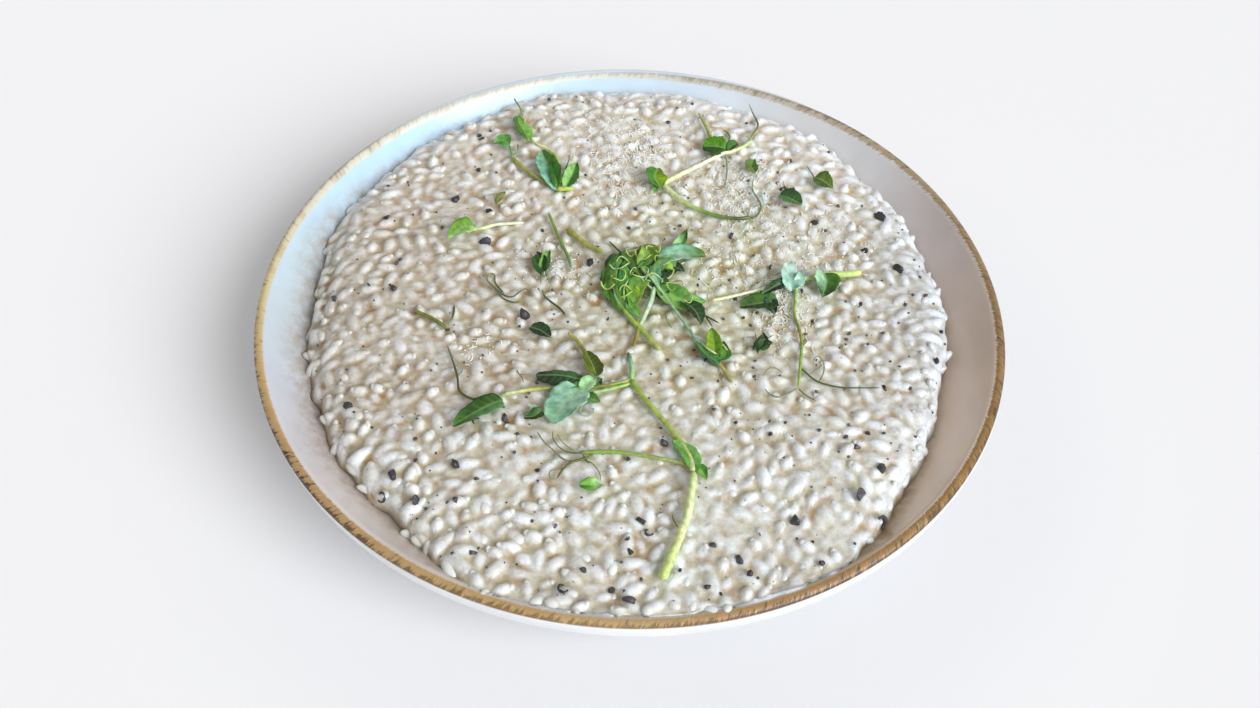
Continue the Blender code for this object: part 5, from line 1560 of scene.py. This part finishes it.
# The longest shoot: a thick foot at the near edge, a fork, and two stems that run to the left.
grow(
    "shoot_front", "pea_shoot",
    stem([(12, -119.5), (15, -111), (18.3, -101), (20.3, -93), (22, -79.5)],
         1.6, 1.2, "#CBDD84", "#DCE9A4", "#E3EEB8", "#CFE09A"),
    leaf([(23, -79.8), (20.6, -73), (14.8, -67.6)], 5, "#5E9A3E", "#7DB45C", roll=15, fold=15),
    leaf([(22.8, -76.5), (24.6, -79), (26, -82.3)], 2.8, MID, BRIGHT),
    stem([(22, -79.5), (19.5, -71), (13, -61), (5, -50), (0.8, -43)],
         1.05, 0.95, PALE, "#B9CC74", "#A9BC5C", "#A9BC5C", "#8CAA48"),
    stem([(1, -43), (0.8, -37), (-0.6, -30.6)], 0.85, 0.75, "#9CC46C", "#9CC8A4", DARK),
    stem([(0.8, -43), (-7, -45.3), (-16, -46.8), (-30, -47.6), (-42, -50.8)],
         0.55, 0.7, LIME, OLIVE, "#7C8A2C", "#B4B45C", "#D5DCA0"),
    stem([(-41, -50.5), (-45, -53.5), (-50, -53.7), (-54.3, -52.3), (-57.2, -49.3), (-58.3, -44),
          (-60.5, -37.5), (-63.6, -29.6)],
         0.6, 0.32, "#A3C47C", WOODY, SHADE, SHADE, SHADE, THREAD),
    stem([(-58, -43), (-57, -40), (-59, -37), (-61.8, -33), (-63.2, -30.8)], 0.25, 0.2, THREAD, MIST),
    stem([(0.5, -44), (-1, -45), (-8, -47.5), (-15.5, -49.6)], 0.55, 0.65, LIME, "#A9CC74", "#A9D48C"),
    leaf([(-41.8, -54), (-49, -58.7), (-57.5, -64.6)],
         8.6, "#5C9452", "#2C5214", "#3A6A24", roll=-8, fold=16, blunt=1.6),
    leaf([(-15.2, -44, 0.6), (-23, -42.8, 1.6), (-31.7, -42.5, 1)],
         6.6, "#14351A", "#2F6430", BLACKISH, fold=-24, wave=0.1, blunt=3.0),
    leaf([(-16.4, -47.4), (-20.8, -54.2), (-25, -62)],
         13.2, MINT, "#8DBDA0", "#7DAE8E", roll=-8, fold=12, blunt=2.7),
    leaf([(-14.8, -50), (-13.6, -46), (-10.8, -41.5)], 5, "#9FCF96", "#B4DCA4", roll=15, wave=0.7),
    leaf([(-11, -42.5), (-12.7, -37.5), (-15.3, -31.5)],
         6, "#57650F", "#434F0C", roll=-10, fold=22, blunt=1.8),
    stem([(-14.5, -33), (-18, -27), (-22, -22.5)], 0.75, 0.75, "#7C8030", "#9C9C48", "#B9B478"),
    leaf([(-28.5, -57.5), (-31, -60), (-34.3, -60.6)], 4.2, "#23400F", DARK, blunt=2.0),
    leaf([(-30.5, -57), (-32, -56), (-33.3, -55.8)], 1.8, "#A5C48C", MIST),
    leaf([(-15, -50), (-12.5, -51.5), (-9.3, -52.7)], 3.6, "#3F6424", "#5E8A44"),
    leaf([(-9.5, -46), (-10.5, -44.5), (-9, -42.8)], 2.2, DARK, DEEP),
    leaf([(-16, -45.5), (-18, -46.8, 0.6), (-21, -47.5, 0.6)], 2.4, "#3F7A24", MID),
    stem([(22, -79), (18.6, -76.2), (15, -75), (4, -73), (-4, -72.3), (-15.5, -73.5)],
         0.6, 0.75, "#B49C6C", OLIVE, "#A9BC74", "#93AA54", FRESH, "#7C8F44"),
    stem([(-15, -73.5), (-19, -73.4), (-22.2, -71.3), (-24.2, -68), (-24.4, -65)],
         0.32, 0.22, SHADE, THREAD, THREAD),
    stem([(-16.5, -73), (-19.3, -71), (-21.5, -68.7), (-23, -66)], 0.22, 0.18, THREAD, THREAD),
    stem([(-12, -75), (-16.5, -76.8), (-20.3, -76.2), (-24, -72.7), (-27.2, -69.5), (-29.7, -65.5)],
         0.3, 0.2, THREAD, THREAD),
    stem([(-10.5, -73.5), (-12.5, -75.3), (-17, -77.2), (-20, -80.2), (-21.8, -84)],
         0.5, 0.38, "#7C8F44", WOODY, WOODY, "#5A5A34"),
    stem([(-19.6, -80), (-22, -80.3), (-24.3, -81.4), (-24, -83.8), (-21.8, -84)],
         0.25, 0.2, "#8A8A5C", THREAD),
    stem([(-11.5, -76.5), (-9.3, -79), (-8, -82), (-8.3, -85)], 0.22, 0.17, THREAD, THREAD),
    stem([(-14, -74.3), (-12.4, -76.8), (-10.8, -77)], 0.5, 0.3, "#6E6A34", WOODY),
    stem([(-15.5, -54), (-15.8, -57), (-13.5, -58.2), (-11.4, -56.3), (-12.5, -54.3)],
         0.2, 0.17, MIST, THREAD),
    stem([(15, -95), (15.7, -97.5), (17.3, -100.5)], 0.22, 0.17, WOODY, "#5A4A34"),
    stem([(-38.5, -39.3), (-37.7, -41), (-36.3, -43), (-35.8, -45)], 0.25, 0.17, "#7A6A48", "#8A7A54"),
    stem([(-37.8, -41.3), (-35, -41.4)], 0.22, 0.17, "#7A6A48", "#8A7A54"),
)

# Leaves, stems and curls that lie by themselves on the rice.
grow(
    "sprig_left", "pea_stem",
    stem([(-42, 33.5), (-52, 32.2), (-57, 29.9), (-64, 27.8)], 0.5, 0.8, CREAM, CREAM, PALE, LIME),
    leaf([(-60.5, 29), (-65, 27.5), (-69.8, 22.8)], 6.6, "#9CC474", "#5A8A14", roll=15, fold=26),
)
grow(
    "leaf_back_dark", "pea_leaf",
    leaf([(56, 53), (60, 51.3), (64.8, 48.5)], 8.2, "#2A5226", "#3F6E38", roll=8, blunt=2.2),
)
grow(
    "leaf_back_small", "pea_leaf",
    leaf([(70.5, 63.5), (74, 61.5), (77.7, 58.3)], 6.6, "#4F6B22", "#3F5A22", roll=-12, wave=0.7),
    stem([(71.5, 63), (70.3, 67), (68.5, 72.3)], 0.4, 0.28, THREAD, "#7C9A90"),
)
grow(
    "stem_back_dark", "pea_stem",
    stem([(-33, 38.7), (-28.5, 26.5), (-24.3, 16), (-22.5, 10)],
         0.6, 0.6, FRESH, "#7C9448", GREEN, "#8FA98A"),
)
grow(
    "stem_back_pale", "pea_stem",
    stem([(-25.5, 29.7), (-18, 22), (-11.3, 17.8)], 1.1, 0.8, OLIVE, "#B4B45C", "#9CA050"),
)
grow("leaf_tip_back", "pea_stem", leaf([(-53.5, 43), (-52.5, 46.5), (-50.5, 50)], 2.2, WOODY, "#8A9050"))
grow(
    "leaf_frilled", "pea_leaf",
    leaf([(-33, 5.5), (-34, 11), (-36, 16.5)], 5, DARK, BLACKISH, roll=25, wave=0.9),
    leaf([(-33, 6), (-32.5, 12), (-31.5, 18)], 3.6, "#6FA040", DARK, roll=-20, wave=0.9),
    stem([(-32.5, 9, 1), (-31.5, 6), (-30.4, 2.5)], 0.3, 0.2, "#4A7A74", "#5E8A84"),
    stem([(-33.3, 8, 1), (-33.6, 5), (-33.2, 1.5)], 0.25, 0.2, "#4A7A74", THREAD),
    stem([(-33, 12, 1.5), (-34, 16.5, 0.6), (-34.3, 21)], 0.22, 0.17, GREEN, THREAD),
    stem([(-34.5, 11, 1.5), (-36.5, 13, 0.5), (-38.6, 16)], 0.3, 0.2, FRESH, OLIVE),
)
grow(
    "curl_left", "pea_stem",
    stem([(-46, -4.2), (-49.8, 1), (-50.5, 4.8, 0.4), (-52.3, 5, 0.4), (-53, 2.7), (-50.5, -0.5),
          (-46.5, -4.5), (-43, -5.5),
          (-40.6, -3), (-38.5, -1.4), (-35, -4.6)], 0.35, 0.22, SHADE, OLIVE, SHADE, THREAD),
    stem([(-50, -1.5), (-46.5, -6), (-42.5, -8), (-39.3, -7.5)], 0.2, 0.4, THREAD, SHADE, OLIVE),
)
grow(
    "curl_middle", "pea_stem",
    stem([(-32.6, -1), (-31.3, -4.8), (-26, -10), (-23.5, -13.5)], 0.25, 0.5, THREAD, SHADE, SHADE),
)
grow(
    "leaf_scrap_dark", "pea_leaf",
    leaf([(-35.5, -20.5), (-31.5, -22), (-28, -25)], 4.8, "#1B3A1E", BLACKISH, blunt=2.2),
)
grow(
    "leaf_scrap_front", "pea_leaf",
    leaf([(-14.6, -86.5), (-11, -86.5), (-7, -86)], 4, BRIGHT, "#4F8A1C", "#A9C88C", blunt=2.2, wave=0.7),
)
grow(
    "stem_left", "pea_stem",
    stem([(-77, -14), (-71, -17), (-64.5, -21.5)], 0.6, 0.8, OLIVE, "#6C7020", "#7C8A48"),
    stem([(-64.3, -20.5), (-63.3, -15), (-63.5, -10)], 0.5, 0.35, "#A5A890", SHADE, SHADE),
)
grow(
    "scrap_right", "pea_leaf",
    leaf([(43, -28), (46, -26), (50, -23.5)], 4, "#1E3410", DARK, wave=0.9),
    leaf([(44.5, -29), (46.5, -25), (46.5, -20)], 3.4, DARK, "#1E3410", roll=20, wave=0.9),
    stem([(46, -25, 1), (44.5, -22), (44, -18.5)], 0.2, 0.15, SHADE, THREAD),
    stem([(47, -25, 1), (48.5, -21), (51, -19)], 0.2, 0.15, SHADE, THREAD),
)

sizes = {"cad": [list(corner) for corner in cad_bounds], "visual": [list(corner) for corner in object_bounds()]}
